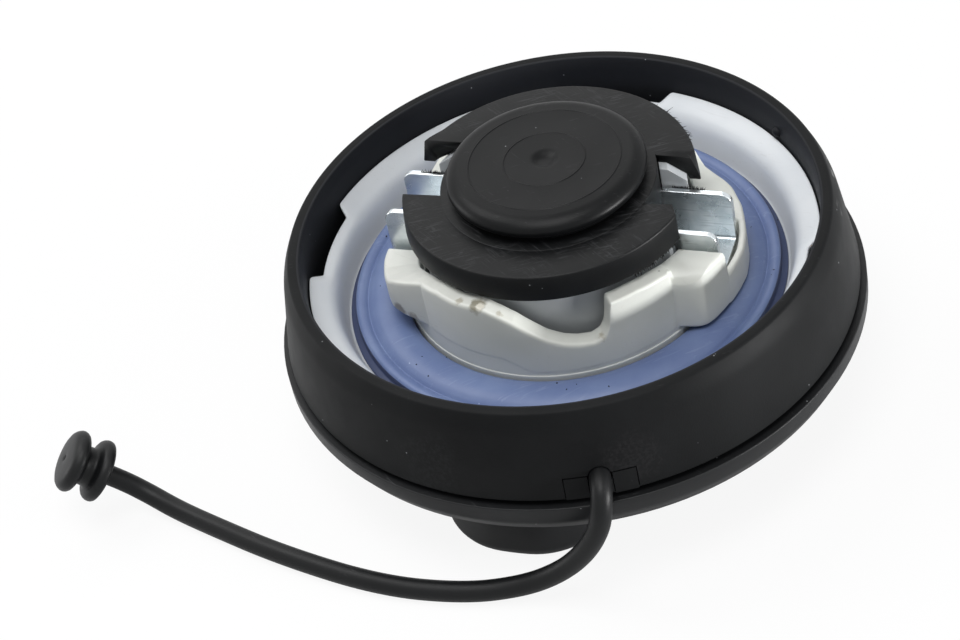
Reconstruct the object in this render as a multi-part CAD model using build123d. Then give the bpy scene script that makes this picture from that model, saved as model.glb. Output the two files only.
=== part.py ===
"""Bayonet fuel filler cap, standing upside down on the flat of its grip bar.

Millimetres. The cap's axis is Z, and +Z points into the filler neck. Z = 0 is the flat of the
grip bar, X runs along the steel lock bar and Y along the grip bar.
"""
from build123d import *
from math import cos, pi, radians, sin, tan
import os

os.makedirs("parts", exist_ok=True)

# ---------------------------------------------------------------- driving dimensions
# outer cover and its grip
cover_radius = 42.5          # outside of the rim band
cover_wall = 2.2
cover_face_height = 11.5     # outer face of the cover above the flat of the grip
seam_height = 16.0           # where skirt and cover meet
seam_gap = 0.4
band_height = 2.3            # straight band under the seam
edge_chamfer_drop = 2.7      # chamfer under the band
edge_chamfer_width = 1.5
edge_fall = 2.0              # width of the slope from the chamfer to the outer face
grip_length = 75.0
grip_width = 25.0
grip_end_flat = 3.0          # between the two corners of an end
grip_corner_radius = (grip_width - grip_end_flat) / 2
grip_edge_fillet = 2.5
finger_depth = 3.5           # recess for the fingers in each side of the bar
finger_length = 48.4
finger_slope = 1.5           # the recess opens by this much of length per depth, at each end
finger_end_fillet = 5.0
finger_edge_fillet = 3.0
grip_waist = grip_width - 2 * finger_depth
grip_rib_count = 4
grip_rib_thickness = 1.6
far = 100.0                  # beyond the cap in any direction

# rubber skirt
skirt_step = 0.75            # the skirt stands back from the cover's band
skirt_draft = 1.9            # how far the wall leans in up to the lip's bevel
lip_bevel = 1.09             # width of the lip's bevel
skirt_thickness = 4.85       # at the seam
skirt_base_radius = cover_radius - skirt_step
crease_radius = skirt_base_radius - skirt_draft
lip_outer_radius = crease_radius - lip_bevel
skirt_inner_radius = skirt_base_radius - skirt_thickness
lip_height = 30.4            # top of the skirt
crease_height = 28.0         # where the bevel starts
lip_inner_bevel = 0.2
spigot_depth = 2.6           # how far the skirt reaches down inside the cover
spigot_clearance = 0.15
nub_radius = 0.8
nub_sink = 0.1               # how far a nub's centre lies inside the wall
nub_height = 26.6
nub_count = 4

# white seal carrier (the dish)
dish_wall = 1.7
dish_seat_height = 19.0      # face that the seal and the cam stand on
dish_rim_height = 25.3
dish_rim_clearance = 0.3
dish_flare = 4.6             # how far the rim stands out from the trough
dish_bore_clearance = 0.15
dish_rim_radius = skirt_inner_radius - dish_rim_clearance
dish_trough_radius = dish_rim_radius - dish_flare
dish_lip = 1.1
dish_outside = [             # (radius past the trough, height over the foot)
    (0.6, 0.0),
    (2.2, 1.9),
    (3.2, 4.7),
]
dish_inside = [              # (radius past the trough, height over the seat)
    (1.8, 3.3),
    (0.7, 1.4),
    (0.0, 0.3),
    (-0.7, 0.0),
]
tab_height = 3.0
tab_reach = 2.3              # how far a tab stands out from the wall below it
tab_count = 4
tab_gap_angle = 27.0
tab_gap_centre = 3.5         # angle of the first gap

# white core barrel
barrel_radius = 19.1
barrel_wall = 3.6
barrel_bore_radius = barrel_radius - barrel_wall
barrel_floor_top = 18.9
barrel_floor_bottom = 17.2
cage_radius = 10.2
cage_bore_radius = 8.9
cage_top = 22.2
cage_web = 1.4
valve_port_radius = 4.8
valve_ridge = 0.5            # seat ring under the cage's web
valve_ridge_width = 0.8
cage_bottom = 14.6
snap_rim_thickness = 1.2
snap_rim_lead = 0.5          # lead-in chamfer of the snap rim

# O-ring between barrel and dish
o_ring_wire = 1.5
o_ring_clearance = 0.1
snap_rim_radius = barrel_radius + o_ring_wire

# ivory cam sleeve
cam_gap = 1.1                # between the barrel and the sleeve's bore
cam_wall = 2.6
cam_bore_radius = barrel_radius + cam_gap
cam_radius = cam_bore_radius + cam_wall
cam_top = 33.3
cam_step = 0.4               # small foot at the base of the sleeve
cam_step_height = 22.4
cam_step_bevel = 0.3
block_bottom = 22.4
pocket_wall = 1.4            # wall round the right end of the lock bar
cam_slot_half_width = 5.6
cam_cut_margin = 1.5         # the cutters reach this far past the sleeve
ramp_land = [                # (angle, height) of the sleeve's rim, from one ramp to the next
    (-136.0, 32.0),
    (-122.0, 32.9),
    (-108.0, 33.3),
    (-99.0, 33.2),
    (-92.0, 32.5),
    (-86.0, 31.0),
    (-80.0, 29.2),
    (-74.0, 27.8),
    (-67.0, 26.8),
    (-61.5, 26.7),
    (-57.5, 27.4),
    (-55.5, 28.1),
    (-53.9, 30.8),
    (-52.5, 32.6),
]
right_land = [
    (-40.0, 32.7),
    (-27.0, 32.2),
    (-13.2, 31.8),
    (-12.8, 27.7),
    (13.0, 27.8),
    (24.0, 28.0),
    (34.0, 29.6),
]
left_land = [
    (140.0, 32.0),
    (147.0, 30.0),
    (155.0, 28.2),
    (166.0, 27.8),
    (180.0, 27.8),
    (194.0, 27.8),
    (205.0, 28.2),
    (213.0, 29.4),
]
right_block = [              # (angle, radius) round the right end of the lock bar
    (-30.5, 22.4),
    (-28.5, 24.2),
    (-26.0, 26.0),
    (-15.0, 26.6),
    (0.0, 26.9),
    (14.0, 26.4),
    (26.0, 25.7),
    (33.0, 24.2),
    (40.0, 22.4),
]
left_block = [
    (136.0, 22.4),
    (141.0, 24.0),
    (149.0, 25.6),
    (158.0, 25.7),
    (180.0, 25.0),
    (202.0, 25.7),
    (211.0, 25.6),
    (219.0, 24.0),
    (224.0, 22.4),
]
shoulder_start = 24.3        # the high block falls outwards from here
shoulder_top = 32.0
shoulder_end = 27.5
shoulder_foot = 26.2

# blue seal
seal_bore_clearance = 0.3
seal_margin = 0.8            # between the seal's edge and the trough's wall
seal_inner_radius = cam_radius + cam_step + seal_bore_clearance
seal_outer_radius = dish_trough_radius - seal_margin
seal_lip_width = 2.4
seal_lip_height = 21.2
seal_ridge_height = 22.0
seal_ridge_drop = 1.2        # the ridge's inner edge lies this much lower
seal_groove = 0.5
seal_groove_width = 0.7

# black bayonet head with its two half-moons
head_overhang = 1.6          # the head stands out from the barrel
head_radius = barrel_radius + head_overhang
head_top = 38.0
head_flange_height = 4.0
head_plate = 1.3
head_gap_near = 4.65         # from the axis to the near half-moon's straight edge
head_gap_far = 6.3
head_end_flat = 18.9         # the far half-moon is cut flat at one end
head_end_slope = 0.35        # that cut leans outwards by this much per millimetre
head_end_back = 8.0
head_clearance = 0.15
web_inset = 1.1              # from the barrel's bore to the web under the flange
web_start_radius = barrel_bore_radius + web_inset
web_drop = 1.8
hub_clearance = 0.2
hub_radius = barrel_bore_radius - hub_clearance
hub_bottom = 26.0
hub_wall = 3.3
hub_bore_radius = hub_radius - hub_wall
hub_roof = 2.2
hub_overlap = 0.5            # the flange starts this far inside the hub

# valve cap (the dome)
dome_radius = 14.2
dome_rise = 3.6              # from the head's face to the top of the dome
dome_top = head_top + dome_rise
dome_flat_radius = 11.4
dome_neck_radius = 12.8
dome_stem_radius = 7.9
dome_stem_clearance = 0.1
dome_stem_wall = 1.4
dome_stem_hook = 1.2         # how far the stem reaches past the hub's roof
dome_hollow = 0.4
dome_edge_drop = 2.0         # from the top to the dome's widest point
dome_shoulder_inset = 0.7
dome_shoulder_drop = 0.75
dome_under_drop = 2.9
dome_under_inset = 0.5
dome_under_bevel = 0.2
dome_ring_radii = (10.8, 5.8)
dome_ring_groove = 0.25
dome_ring_depth = 0.2
dome_dimple_radius = 2.2
dome_dimple_depth = 0.5

# steel lock bar
bar_left = -24.0
bar_right = 24.8
bar_half_width = 4.7
bar_floor_bottom = 25.0
bar_height = 8.7
bar_sheet = 0.9
bar_corner_radius = 1.6
bar_bend_radius = 1.3
bar_hole_radius = 3.0
bar_clearance = 0.25
bar_travel = 2.0
bar_travel_margin = 0.2      # free space below the bar when it is pressed
bar_top_margin = 0.3
lock_spring_radius = 12.6
lock_spring_wire = 1.1
lock_spring_turns = 2.5
spring_end_clearance = 0.05

# pressure and vacuum valve
plate_radius = 8.4
plate_thickness = 1.0
valve_seal_inner = 4.0
valve_seal_outer = 7.8
valve_seal_thickness = 0.5
plate_port_radius = 0.45
plate_port_inset = 0.9       # from the poppet's edge to a port's middle
plate_port_count = 4
plate_port_angle = 45.0      # angle of the first port
pressure_spring_radius = 6.6
pressure_spring_wire = 0.6
pressure_spring_turns = 3.0
retainer_thickness = 0.8
retainer_hole_radius = 3.6
retainer_ledge = 0.5
retainer_clearance = 0.05
poppet_radius = 3.2
poppet_head_thickness = 0.8
poppet_stem_radius = 1.3
poppet_clearance = 0.25
poppet_stem_length = 4.0
poppet_edge_fillet = 0.3
poppet_overlap = 0.1
vacuum_spring_radius = 1.9
vacuum_spring_wire = 0.35
vacuum_spring_turns = 3.0
vacuum_clip_radius = 2.5
vacuum_clip_thickness = 0.6
vacuum_clip_rise = 0.2       # from the stem's end to the clip

# ratchet between cover and inner unit
ratchet_teeth = 36
ratchet_tooth_depth = 0.9
ratchet_tooth_rise = 0.75    # share of a tooth's pitch that is its gentle flank
ratchet_rim = 2.5
ratchet_clearance = 0.3
ratchet_outer_radius = skirt_inner_radius - ratchet_clearance
ratchet_root_radius = ratchet_outer_radius - ratchet_rim
ratchet_inner_radius = ratchet_root_radius - ratchet_tooth_depth
ratchet_height = 2.6
pawl_count = 4
pawl_span = 5.2              # from the pawl ring to the ratchet's teeth
pawl_ring_width = 2.5
pawl_ring_outer = ratchet_inner_radius - pawl_span
pawl_ring_inner = pawl_ring_outer - pawl_ring_width
pawl_arm_width = 1.3
pawl_arm_depth = 0.9         # the arm's middle line runs this far inside the teeth's tips
pawl_clearance = 0.15
pawl_reach = 50.0            # angle from an arm's root to its nose
pawl_nose_angle = 6.5        # length of the nose along the teeth
pawl_root_sink = 0.6         # how far an arm's root lies inside the pawl ring
pawl_arm_bow = 0.4
pawl_lead_angle = 0.5        # from the tooth's step to the nose
thrust_clearance = 0.2       # between the pawl ring and the cover's inner face

# tether
tether_diameter = 3.0
tether_angle = -67.9         # where it leaves the skirt
tether_exit_height = 19.9
tether_run_share = 0.45      # share of a run that a bend may take
anchor_width = 14.0
anchor_depth = 3.0
anchor_height = 5.4
anchor_lift = 0.6            # from the spigot's shoulder to the anchor's foot
anchor_window_width = 3.2
anchor_window_height = 3.3
anchor_window_angle = 4.6    # from the tether to a window's middle
anchor_window_lift = 2.05    # from the shoulder to a window's middle
anchor_clearance = 0.15
plug_radius = 4.75
plug_flange_thickness = 2.0
plug_head_thickness = 2.5
plug_head_face_radius = 1.6
plug_neck_radius = 2.8
plug_neck_length = 1.8
plug_dimple_radius = 0.6
plug_dimple_depth = 0.5
tether_points = [
    (14.75, -36.32, 19.9),
    (15.95, -39.28, 19.9),
    (16.50, -41.60, 17.9),
    (15.70, -42.60, 13.9),
    (12.90, -42.90, 9.2),
    (9.00, -43.10, 5.2),
    (3.60, -43.90, 2.4),
    (-4.50, -45.70, 1.5),
    (-16.80, -46.20, 1.5),
    (-33.00, -42.90, 1.5),
    (-46.00, -38.80, 1.5),
    (-52.00, -36.80, 1.6),
    (-56.70, -35.50, 2.9),
    (-60.10, -35.60, 5.2),
    (-62.30, -36.40, 7.3),
]


# ---------------------------------------------------------------- helpers
def ring(outline):
    """Turn a closed outline of (radius, height) points round the cap's axis."""
    return revolve(Plane.XZ * make_face(Polyline(*outline, close=True)), Axis.Z)


def tube(outer, inner, low, high):
    """A plain ring between two radii and two heights."""
    return ring([(inner, low), (outer, low), (outer, high), (inner, high)])


def disc(radius, low, high):
    """A solid cylinder between two heights."""
    return Pos(0, 0, (low + high) / 2) * Cylinder(radius, high - low)


def block(x_low, x_high, y_low, y_high, z_low, z_high):
    """A box given by its limits."""
    size = Box(x_high - x_low, y_high - y_low, z_high - z_low)
    return Pos((x_low + x_high) / 2, (y_low + y_high) / 2, (z_low + z_high) / 2) * size


def polar(radius, angle, height):
    """A point at a radius, an angle in degrees and a height."""
    return (radius * cos(radians(angle)), radius * sin(radians(angle)), height)


def flat_polar(radius, angle):
    """A point of a plan at a radius and an angle in degrees."""
    return polar(radius, angle, 0)[:2]


def sector(radius, start, stop, low, high):
    """A wedge of a cylinder from one angle to another, both in degrees."""
    reach = radius / cos(radians((stop - start) / 4))
    corners = [(0, 0)]
    for step in range(3):
        corners.append(flat_polar(reach, start + (stop - start) * step / 2))
    return Pos(0, 0, low) * extrude(make_face(Polyline(*corners, close=True)), high - low)


def coil(radius, wire, turns, low, high):
    """A compression spring with its outermost surfaces at the two heights."""
    rise = high - low - wire
    path = Pos(0, 0, low + wire / 2) * Helix(rise / turns, rise, radius)
    section = Plane(origin=path @ 0, z_dir=path % 0) * Circle(wire / 2)
    return sweep(section, path=path, is_frenet=True)


def save(solid, name):
    """Write one piece as parts/NAME.step."""
    solid.label = name
    export_step(solid, f"parts/{name}.step")


# ---------------------------------------------------------------- cover and grip
def finger_recess():
    """The recess along the right side of the grip bar, seen along the axis."""
    reach = grip_width
    inner = finger_length / 2
    outer = inner + finger_slope * (reach - grip_waist / 2)
    return make_face(Polyline(
        (grip_waist / 2, -inner), (grip_waist / 2, inner), (reach, outer), (reach, -outer), close=True,
    ))


def grip_outline():
    """The grip bar seen along the axis: round ends and a waist for the fingers."""
    bar = Rectangle(grip_width, grip_length) & Circle(grip_length / 2)
    bar = fillet(bar.vertices(), grip_corner_radius)
    bar = bar - finger_recess() - mirror(finger_recess(), about=Plane.YZ)
    hollow_end = (finger_length + finger_edge_fillet) / 2
    bar_end = (grip_length - grip_corner_radius) / 2
    crests = bar.vertices().filter_by(lambda corner: hollow_end < abs(corner.Y) < bar_end)
    bar = fillet(crests, finger_edge_fillet)
    hollows = bar.vertices().filter_by(lambda corner: abs(corner.Y) < hollow_end)
    return fillet(hollows, finger_end_fillet)


def grip_cover():
    """Moulded cover: rim band, flat face and a hollow grip bar with cross ribs inside."""
    band_bottom = seam_height - band_height
    edge_height = band_bottom - edge_chamfer_drop
    edge_radius = cover_radius - edge_chamfer_width
    inner_radius = cover_radius - cover_wall
    inner_face = cover_face_height + cover_wall
    shell = ring([
        (0, cover_face_height),
        (edge_radius - edge_fall, cover_face_height),
        (edge_radius, edge_height),
        (cover_radius, band_bottom),
        (cover_radius, seam_height),
        (inner_radius, seam_height),
        (inner_radius, inner_face),
        (0, inner_face),
    ])
    outline = grip_outline()
    bar = extrude(outline, cover_face_height + cover_wall / 2)
    bar = fillet(bar.edges().group_by(Axis.Z)[0], grip_edge_fillet)
    hollow = Pos(0, 0, cover_wall) * extrude(offset(outline, -cover_wall), inner_face)
    cover = shell + bar - hollow
    rib_reach = (grip_waist - cover_wall) / 2
    pitch = (grip_length - 2 * cover_wall) / (grip_rib_count + 1)
    for index in range(grip_rib_count):
        middle = (index - (grip_rib_count - 1) / 2) * pitch
        cover += block(
            -rib_reach, rib_reach,
            middle - grip_rib_thickness / 2, middle + grip_rib_thickness / 2,
            cover_wall / 2, cover_face_height + cover_wall / 2,
        )
    return cover


# ---------------------------------------------------------------- skirt and tether anchor
def shoulder_height():
    """Height of the skirt's shoulder, which lies just above the cover's band."""
    return seam_height + seam_gap


def anchor_windows(clearance):
    """The two windows in the skirt, either side of the tether, that the anchor's hooks fill."""
    start = skirt_inner_radius + anchor_depth / 2
    stop = skirt_base_radius + skirt_step
    width = anchor_window_width + 2 * clearance
    height = anchor_window_height + 2 * clearance
    windows = []
    for side in (-1, 1):
        angle = tether_angle + side * anchor_window_angle
        middle = polar((start + stop) / 2, angle, shoulder_height() + anchor_window_lift)
        windows.append(Pos(*middle) * Rot(0, 0, angle) * Box(stop - start, width, height))
    return windows


def anchor_pocket(clearance):
    """The pocket inside the skirt's wall that holds the anchor."""
    inner = skirt_inner_radius - clearance
    depth = anchor_depth + 2 * clearance
    height = anchor_height + 2 * clearance
    middle = polar(inner + depth / 2, tether_angle, shoulder_height() + anchor_height / 2 + anchor_lift)
    return Pos(*middle) * Rot(0, 0, tether_angle) * Box(depth, anchor_width + 2 * clearance, height)


def skirt_wall():
    """The skirt as turned, before its pocket, windows and hole are cut."""
    base = shoulder_height()
    spigot_radius = cover_radius - cover_wall - spigot_clearance
    return ring([
        (skirt_inner_radius, base - spigot_depth),
        (spigot_radius, base - spigot_depth),
        (spigot_radius, base),
        (skirt_base_radius, base),
        (crease_radius, crease_height),
        (lip_outer_radius, lip_height),
        (skirt_inner_radius + lip_inner_bevel, lip_height),
        (skirt_inner_radius, crease_height),
    ])


def tether_hole(clearance):
    """The round hole through the skirt where the tether leaves."""
    start = polar(skirt_inner_radius - tether_diameter, tether_angle, tether_exit_height)
    plane = Plane(origin=start, z_dir=polar(1, tether_angle, 0))
    return extrude(plane * Circle(tether_diameter / 2 + clearance), skirt_thickness + 2 * tether_diameter)


def skirt_ring():
    """Rubber skirt with a chamfered lip, pressed into the cover, with nubs over the dish's tabs."""
    skirt = skirt_wall() - anchor_pocket(anchor_clearance) - tether_hole(anchor_clearance)
    for window in anchor_windows(anchor_clearance):
        skirt -= window
    for index in range(nub_count):
        angle = tab_gap_centre + 180 / tab_count + index * 360 / nub_count
        skirt += Pos(*polar(skirt_inner_radius + nub_sink, angle, nub_height)) * Sphere(nub_radius)
    return skirt


def tether_anchor():
    """Moulded anchor inside the skirt; two hooks end flush in the skirt's windows."""
    inside = tube(skirt_base_radius + skirt_thickness, skirt_inner_radius, 0, lip_height)
    anchor = anchor_pocket(0) & inside
    for window in anchor_windows(0):
        anchor += window & skirt_wall() & inside
    return anchor - tether_hole(0)


# ---------------------------------------------------------------- seal carrier
def inner_dish():
    """White carrier: flat seat, trough and a flared rim broken into tabs."""
    bottom = dish_seat_height - dish_wall
    bore = barrel_radius + dish_bore_clearance
    outside = [(dish_trough_radius + step, bottom + rise) for step, rise in dish_outside]
    inside = [(dish_trough_radius + step, dish_seat_height + rise) for step, rise in dish_inside]
    lip = [
        (dish_rim_radius, dish_rim_height - dish_lip),
        (dish_rim_radius, dish_rim_height),
        (dish_rim_radius - dish_lip, dish_rim_height),
    ]
    dish = ring([(bore, bottom)] + outside + lip + inside + [(bore, dish_seat_height)])
    gap_floor = dish_rim_height - tab_height
    collar = tube(dish_rim_radius + tab_reach, dish_rim_radius - tab_reach, gap_floor, far)
    for index in range(tab_count):
        middle = tab_gap_centre + index * 360 / tab_count
        half = tab_gap_angle / 2
        dish -= sector(dish_rim_radius + tab_reach, middle - half, middle + half, gap_floor, far) & collar
    return dish


def seal_ring():
    """Blue seal: a flat outer lip, a groove and a rounded inner ridge."""
    groove_radius = seal_outer_radius - seal_lip_width
    groove_height = seal_lip_height - seal_groove
    inner_edge = (seal_inner_radius, seal_ridge_height - seal_ridge_drop)
    outline = Polyline(
        inner_edge,
        (seal_inner_radius, dish_seat_height),
        (seal_outer_radius, dish_seat_height),
        (seal_outer_radius, seal_lip_height),
        (groove_radius + seal_groove_width, seal_lip_height),
        (groove_radius, groove_height),
    )
    top = ThreePointArc(
        (groove_radius, groove_height),
        ((groove_radius + seal_inner_radius) / 2, seal_ridge_height),
        inner_edge,
    )
    return revolve(Plane.XZ * make_face(outline + top), Axis.Z)


# ---------------------------------------------------------------- cam sleeve
def land_cutter():
    """Everything above the sleeve's rim, as wedges between the heights of the land."""
    opposite = [(angle + 180, height) for angle, height in ramp_land]
    land = ramp_land + right_land + opposite + left_land
    land.append((land[0][0] + 360, land[0][1]))
    near = cam_bore_radius - cam_cut_margin - cam_wall
    reach = max(radius for angle, radius in right_block + left_block) + cam_cut_margin
    roof = cam_top + cam_wall
    cutter = None
    for (start, low), (stop, next_low) in zip(land, land[1:]):
        faces = []
        for angle, height in ((start, low), (stop, next_low)):
            faces.append(Polyline(
                polar(near, angle, height), polar(reach, angle, height),
                polar(reach, angle, roof), polar(near, angle, roof), close=True,
            ).wire())
        wedge = Solid.make_loft(faces, ruled=True)
        cutter = wedge if cutter is None else cutter + wedge
    return cutter


def end_block(outline):
    """The wall round one end of the lock bar, up to the highest land."""
    reach = [flat_polar(radius, angle) for angle, radius in outline]
    plan = make_face(Spline(*reach) + Polyline(reach[-1], (0, 0), reach[0]))
    solid = Pos(0, 0, block_bottom) * extrude(plan, cam_top - block_bottom)
    return solid - disc(cam_radius - cam_step, 0, far)


def shoulder_cutter():
    """Everything above the shoulder that slopes down outside the high block."""
    slope = make_face(Polyline(
        (shoulder_start, shoulder_top), (shoulder_end, shoulder_foot),
        (far, shoulder_foot), (far, far), (shoulder_start, far), close=True,
    ))
    return Pos(0, -cam_slot_half_width, 0) * extrude(Plane.XZ * slope, far)


def cam_sleeve():
    """Ivory sleeve with two bayonet ramps and a block round each end of the lock bar."""
    foot_bottom = dish_seat_height
    foot_radius = cam_radius + cam_step
    o_ring_space = barrel_radius + o_ring_wire + 2 * o_ring_clearance
    chamber_top = foot_bottom + o_ring_wire + 4 * o_ring_clearance
    sleeve = ring([
        (o_ring_space, foot_bottom),
        (foot_radius, foot_bottom),
        (foot_radius, cam_step_height - cam_step_bevel),
        (cam_radius, cam_step_height),
        (cam_radius, cam_top),
        (cam_bore_radius, cam_top),
        (cam_bore_radius, chamber_top),
        (o_ring_space, chamber_top),
    ])
    pocket_radius = max(radius for angle, radius in right_block) - pocket_wall
    slot_floor = bar_floor_bottom - bar_travel - bar_travel_margin
    half = cam_slot_half_width
    slot = disc(pocket_radius, slot_floor, far) & block(0, far, -half, half, slot_floor, far)
    slot += block(-far, 0, -half, half, slot_floor, far)
    sleeve = sleeve + end_block(right_block) + end_block(left_block)
    return sleeve - land_cutter() - slot - shoulder_cutter()


# ---------------------------------------------------------------- core barrel
def core_barrel():
    """White barrel: outer wall, floor with the valve cage, slots for the lock bar."""
    web_bottom = cage_top - cage_web
    ridge_bottom = web_bottom - valve_ridge
    ridge_radius = valve_port_radius + valve_ridge_width
    ledge_height = cage_bottom + retainer_thickness
    ledge_radius = cage_bore_radius + retainer_ledge
    rim_bottom = barrel_floor_bottom - snap_rim_thickness
    rim_top = dish_seat_height - dish_wall - dish_bore_clearance
    wall_top = head_top - head_plate
    barrel = ring([
        (barrel_bore_radius, barrel_floor_top),
        (cage_radius, barrel_floor_top),
        (cage_radius, cage_top),
        (valve_port_radius, cage_top),
        (valve_port_radius, ridge_bottom),
        (ridge_radius, ridge_bottom),
        (ridge_radius, web_bottom),
        (cage_bore_radius, web_bottom),
        (cage_bore_radius, ledge_height),
        (ledge_radius, ledge_height),
        (ledge_radius, cage_bottom),
        (cage_radius, cage_bottom),
        (cage_radius, rim_bottom),
        (snap_rim_radius - snap_rim_lead, rim_bottom),
        (snap_rim_radius, rim_top),
        (barrel_radius, rim_top),
        (barrel_radius, wall_top - web_drop),
        (web_start_radius, wall_top),
        (barrel_bore_radius, wall_top),
    ])
    half = bar_half_width + bar_clearance
    slot_floor = bar_floor_bottom - bar_travel - bar_top_margin
    slot = block(-far, far, -half, half, slot_floor, far)
    return barrel - (slot - disc(hub_bore_radius, 0, far))


def barrel_o_ring():
    """O-ring round the barrel's foot, in the chamber under the cam sleeve."""
    mean = barrel_radius + o_ring_clearance + o_ring_wire / 2
    height = dish_seat_height + (o_ring_wire + o_ring_clearance) / 2
    return revolve(Plane.XZ * Pos(mean, height) * Circle(o_ring_wire / 2), Axis.Z)


# ---------------------------------------------------------------- bayonet head and dome
def bayonet_head():
    """Black head: two half-moon flanges with deep rims and sloping webs on a slotted hub."""
    plate_bottom = head_top - head_plate
    rim_bottom = head_top - head_flange_height
    rim_inner = barrel_radius + head_clearance
    flange_start = hub_radius - hub_overlap
    flange = ring([
        (flange_start, plate_bottom),
        (web_start_radius, plate_bottom),
        (rim_inner, plate_bottom - web_drop),
        (rim_inner, rim_bottom),
        (head_radius, rim_bottom),
        (head_radius, head_top),
        (flange_start, head_top),
    ])
    gap = block(-far, far, -head_gap_near, head_gap_far, 0, far) - disc(flange_start, 0, far)
    lean = head_flange_height * head_end_slope
    end = make_face(Polyline(
        (head_end_flat, head_top), (head_end_flat + lean, rim_bottom), (far, rim_bottom), (far, head_top),
        close=True,
    ))
    end_cut = Pos(0, head_end_back, 0) * extrude(Plane.XZ * end, head_end_back)
    hub = ring([
        (hub_bore_radius, hub_bottom),
        (hub_radius, hub_bottom),
        (hub_radius, head_top),
        (dome_stem_radius + dome_stem_clearance, head_top),
        (dome_stem_radius + dome_stem_clearance, head_top - hub_roof),
        (hub_bore_radius, head_top - hub_roof),
    ])
    half = bar_half_width + bar_clearance
    slot_top = bar_floor_bottom + bar_height + bar_top_margin
    return flange - gap - end_cut + (hub - block(-far, far, -half, half, 0, slot_top))


def valve_cap():
    """Black dome that snaps into the head, with ring lines and a gate dimple on top."""
    widest = dome_top - dome_edge_drop
    under = dome_top - dome_under_drop
    stem_end = head_top - hub_roof - dome_stem_hook
    stem_bore = dome_stem_radius - dome_stem_wall
    hollow_top = head_top + dome_hollow
    top = Polyline((0, dome_top), (dome_flat_radius, dome_top))
    shoulder = ThreePointArc(
        (dome_flat_radius, dome_top),
        (dome_radius - dome_shoulder_inset, dome_top - dome_shoulder_drop),
        (dome_radius, widest),
    )
    below = Polyline(
        (dome_radius, widest),
        (dome_radius - dome_under_inset, under + dome_under_bevel),
        (dome_neck_radius, under),
        (dome_neck_radius, head_top),
        (dome_stem_radius, head_top),
        (dome_stem_radius, stem_end),
        (stem_bore, stem_end),
        (stem_bore, hollow_top),
        (0, hollow_top),
        (0, dome_top),
    )
    dome = revolve(Plane.XZ * make_face(top + shoulder + below), Axis.Z)
    for radius in dome_ring_radii:
        dome -= tube(radius + dome_ring_groove, radius, dome_top - dome_ring_depth, far)
    ball = (dome_dimple_radius ** 2 + dome_dimple_depth ** 2) / (2 * dome_dimple_depth)
    return dome - Pos(0, 0, dome_top + ball - dome_dimple_depth) * Sphere(ball)


# ---------------------------------------------------------------- lock bar and its spring
def lock_bar():
    """Plated steel channel across the barrel, with rounded outer corners and a centre hole."""
    middle = bar_floor_bottom + bar_height / 2
    outer = Pos(0, middle) * Rectangle(2 * bar_half_width, bar_height)
    outer = fillet(outer.vertices().group_by(Axis.Y)[0], bar_bend_radius)
    inner = Pos(0, middle + bar_sheet) * Rectangle(2 * (bar_half_width - bar_sheet), bar_height)
    inner = fillet(inner.vertices().group_by(Axis.Y)[0], bar_bend_radius - bar_sheet)
    end = Plane(origin=(bar_left, 0, 0), x_dir=(0, 1, 0), z_dir=(1, 0, 0))
    channel = extrude(end * (outer - inner), bar_right - bar_left)
    side = Pos((bar_left + bar_right) / 2, middle) * Rectangle(bar_right - bar_left, bar_height)
    side = fillet(side.vertices().group_by(Axis.Y)[-1], bar_corner_radius)
    channel &= extrude(Plane.XZ * side, bar_half_width + bar_sheet, both=True)
    return channel - disc(bar_hole_radius, 0, far)


def lock_spring():
    """Wide coil under the lock bar, standing on the barrel's floor."""
    low = barrel_floor_top + spring_end_clearance
    high = bar_floor_bottom - spring_end_clearance
    return coil(lock_spring_radius, lock_spring_wire, lock_spring_turns, low, high)


# ---------------------------------------------------------------- valve
def plate_top():
    """Top of the pressure plate: the seal on it meets the seat ring."""
    return cage_top - cage_web - valve_ridge - valve_seal_thickness


def pressure_plate():
    """Disc that opens downwards when the tank pushes on it."""
    low = plate_top() - plate_thickness
    plate = tube(plate_radius, poppet_stem_radius + poppet_clearance, low, plate_top())
    for index in range(plate_port_count):
        angle = plate_port_angle + index * 360 / plate_port_count
        port = Pos(*polar(poppet_radius - plate_port_inset, angle, 0)) * disc(plate_port_radius, 0, far)
        plate -= port
    return plate


def valve_seal():
    """Rubber washer on the pressure plate."""
    return tube(valve_seal_outer, valve_seal_inner, plate_top(), plate_top() + valve_seal_thickness)


def pressure_spring():
    """Coil between the retainer and the pressure plate."""
    low = cage_bottom + retainer_thickness + spring_end_clearance
    high = plate_top() - plate_thickness - spring_end_clearance
    return coil(pressure_spring_radius, pressure_spring_wire, pressure_spring_turns, low, high)


def spring_retainer():
    """Perforated disc that closes the bottom of the valve cage."""
    edge = cage_bore_radius + retainer_ledge - retainer_clearance
    return tube(edge, retainer_hole_radius, cage_bottom, cage_bottom + retainer_thickness)


def vacuum_poppet():
    """Mushroom valve in the middle of the plate; it lifts when the tank draws air."""
    head = disc(poppet_radius, plate_top(), plate_top() + poppet_head_thickness)
    head = fillet(head.edges().group_by(Axis.Z)[-1], poppet_edge_fillet)
    return head + disc(poppet_stem_radius, plate_top() - poppet_stem_length, plate_top() + poppet_overlap)


def clip_top():
    """Top of the clip at the foot of the poppet's stem."""
    return plate_top() - poppet_stem_length + vacuum_clip_thickness + vacuum_clip_rise


def vacuum_clip():
    """Washer pressed on the poppet's stem; it carries the vacuum spring."""
    return tube(vacuum_clip_radius, poppet_stem_radius, clip_top() - vacuum_clip_thickness, clip_top())


def vacuum_spring():
    """Small coil between the plate and the clip."""
    low = clip_top() + spring_end_clearance
    high = plate_top() - plate_thickness - spring_end_clearance
    return coil(vacuum_spring_radius, vacuum_spring_wire, vacuum_spring_turns, low, high)


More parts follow.
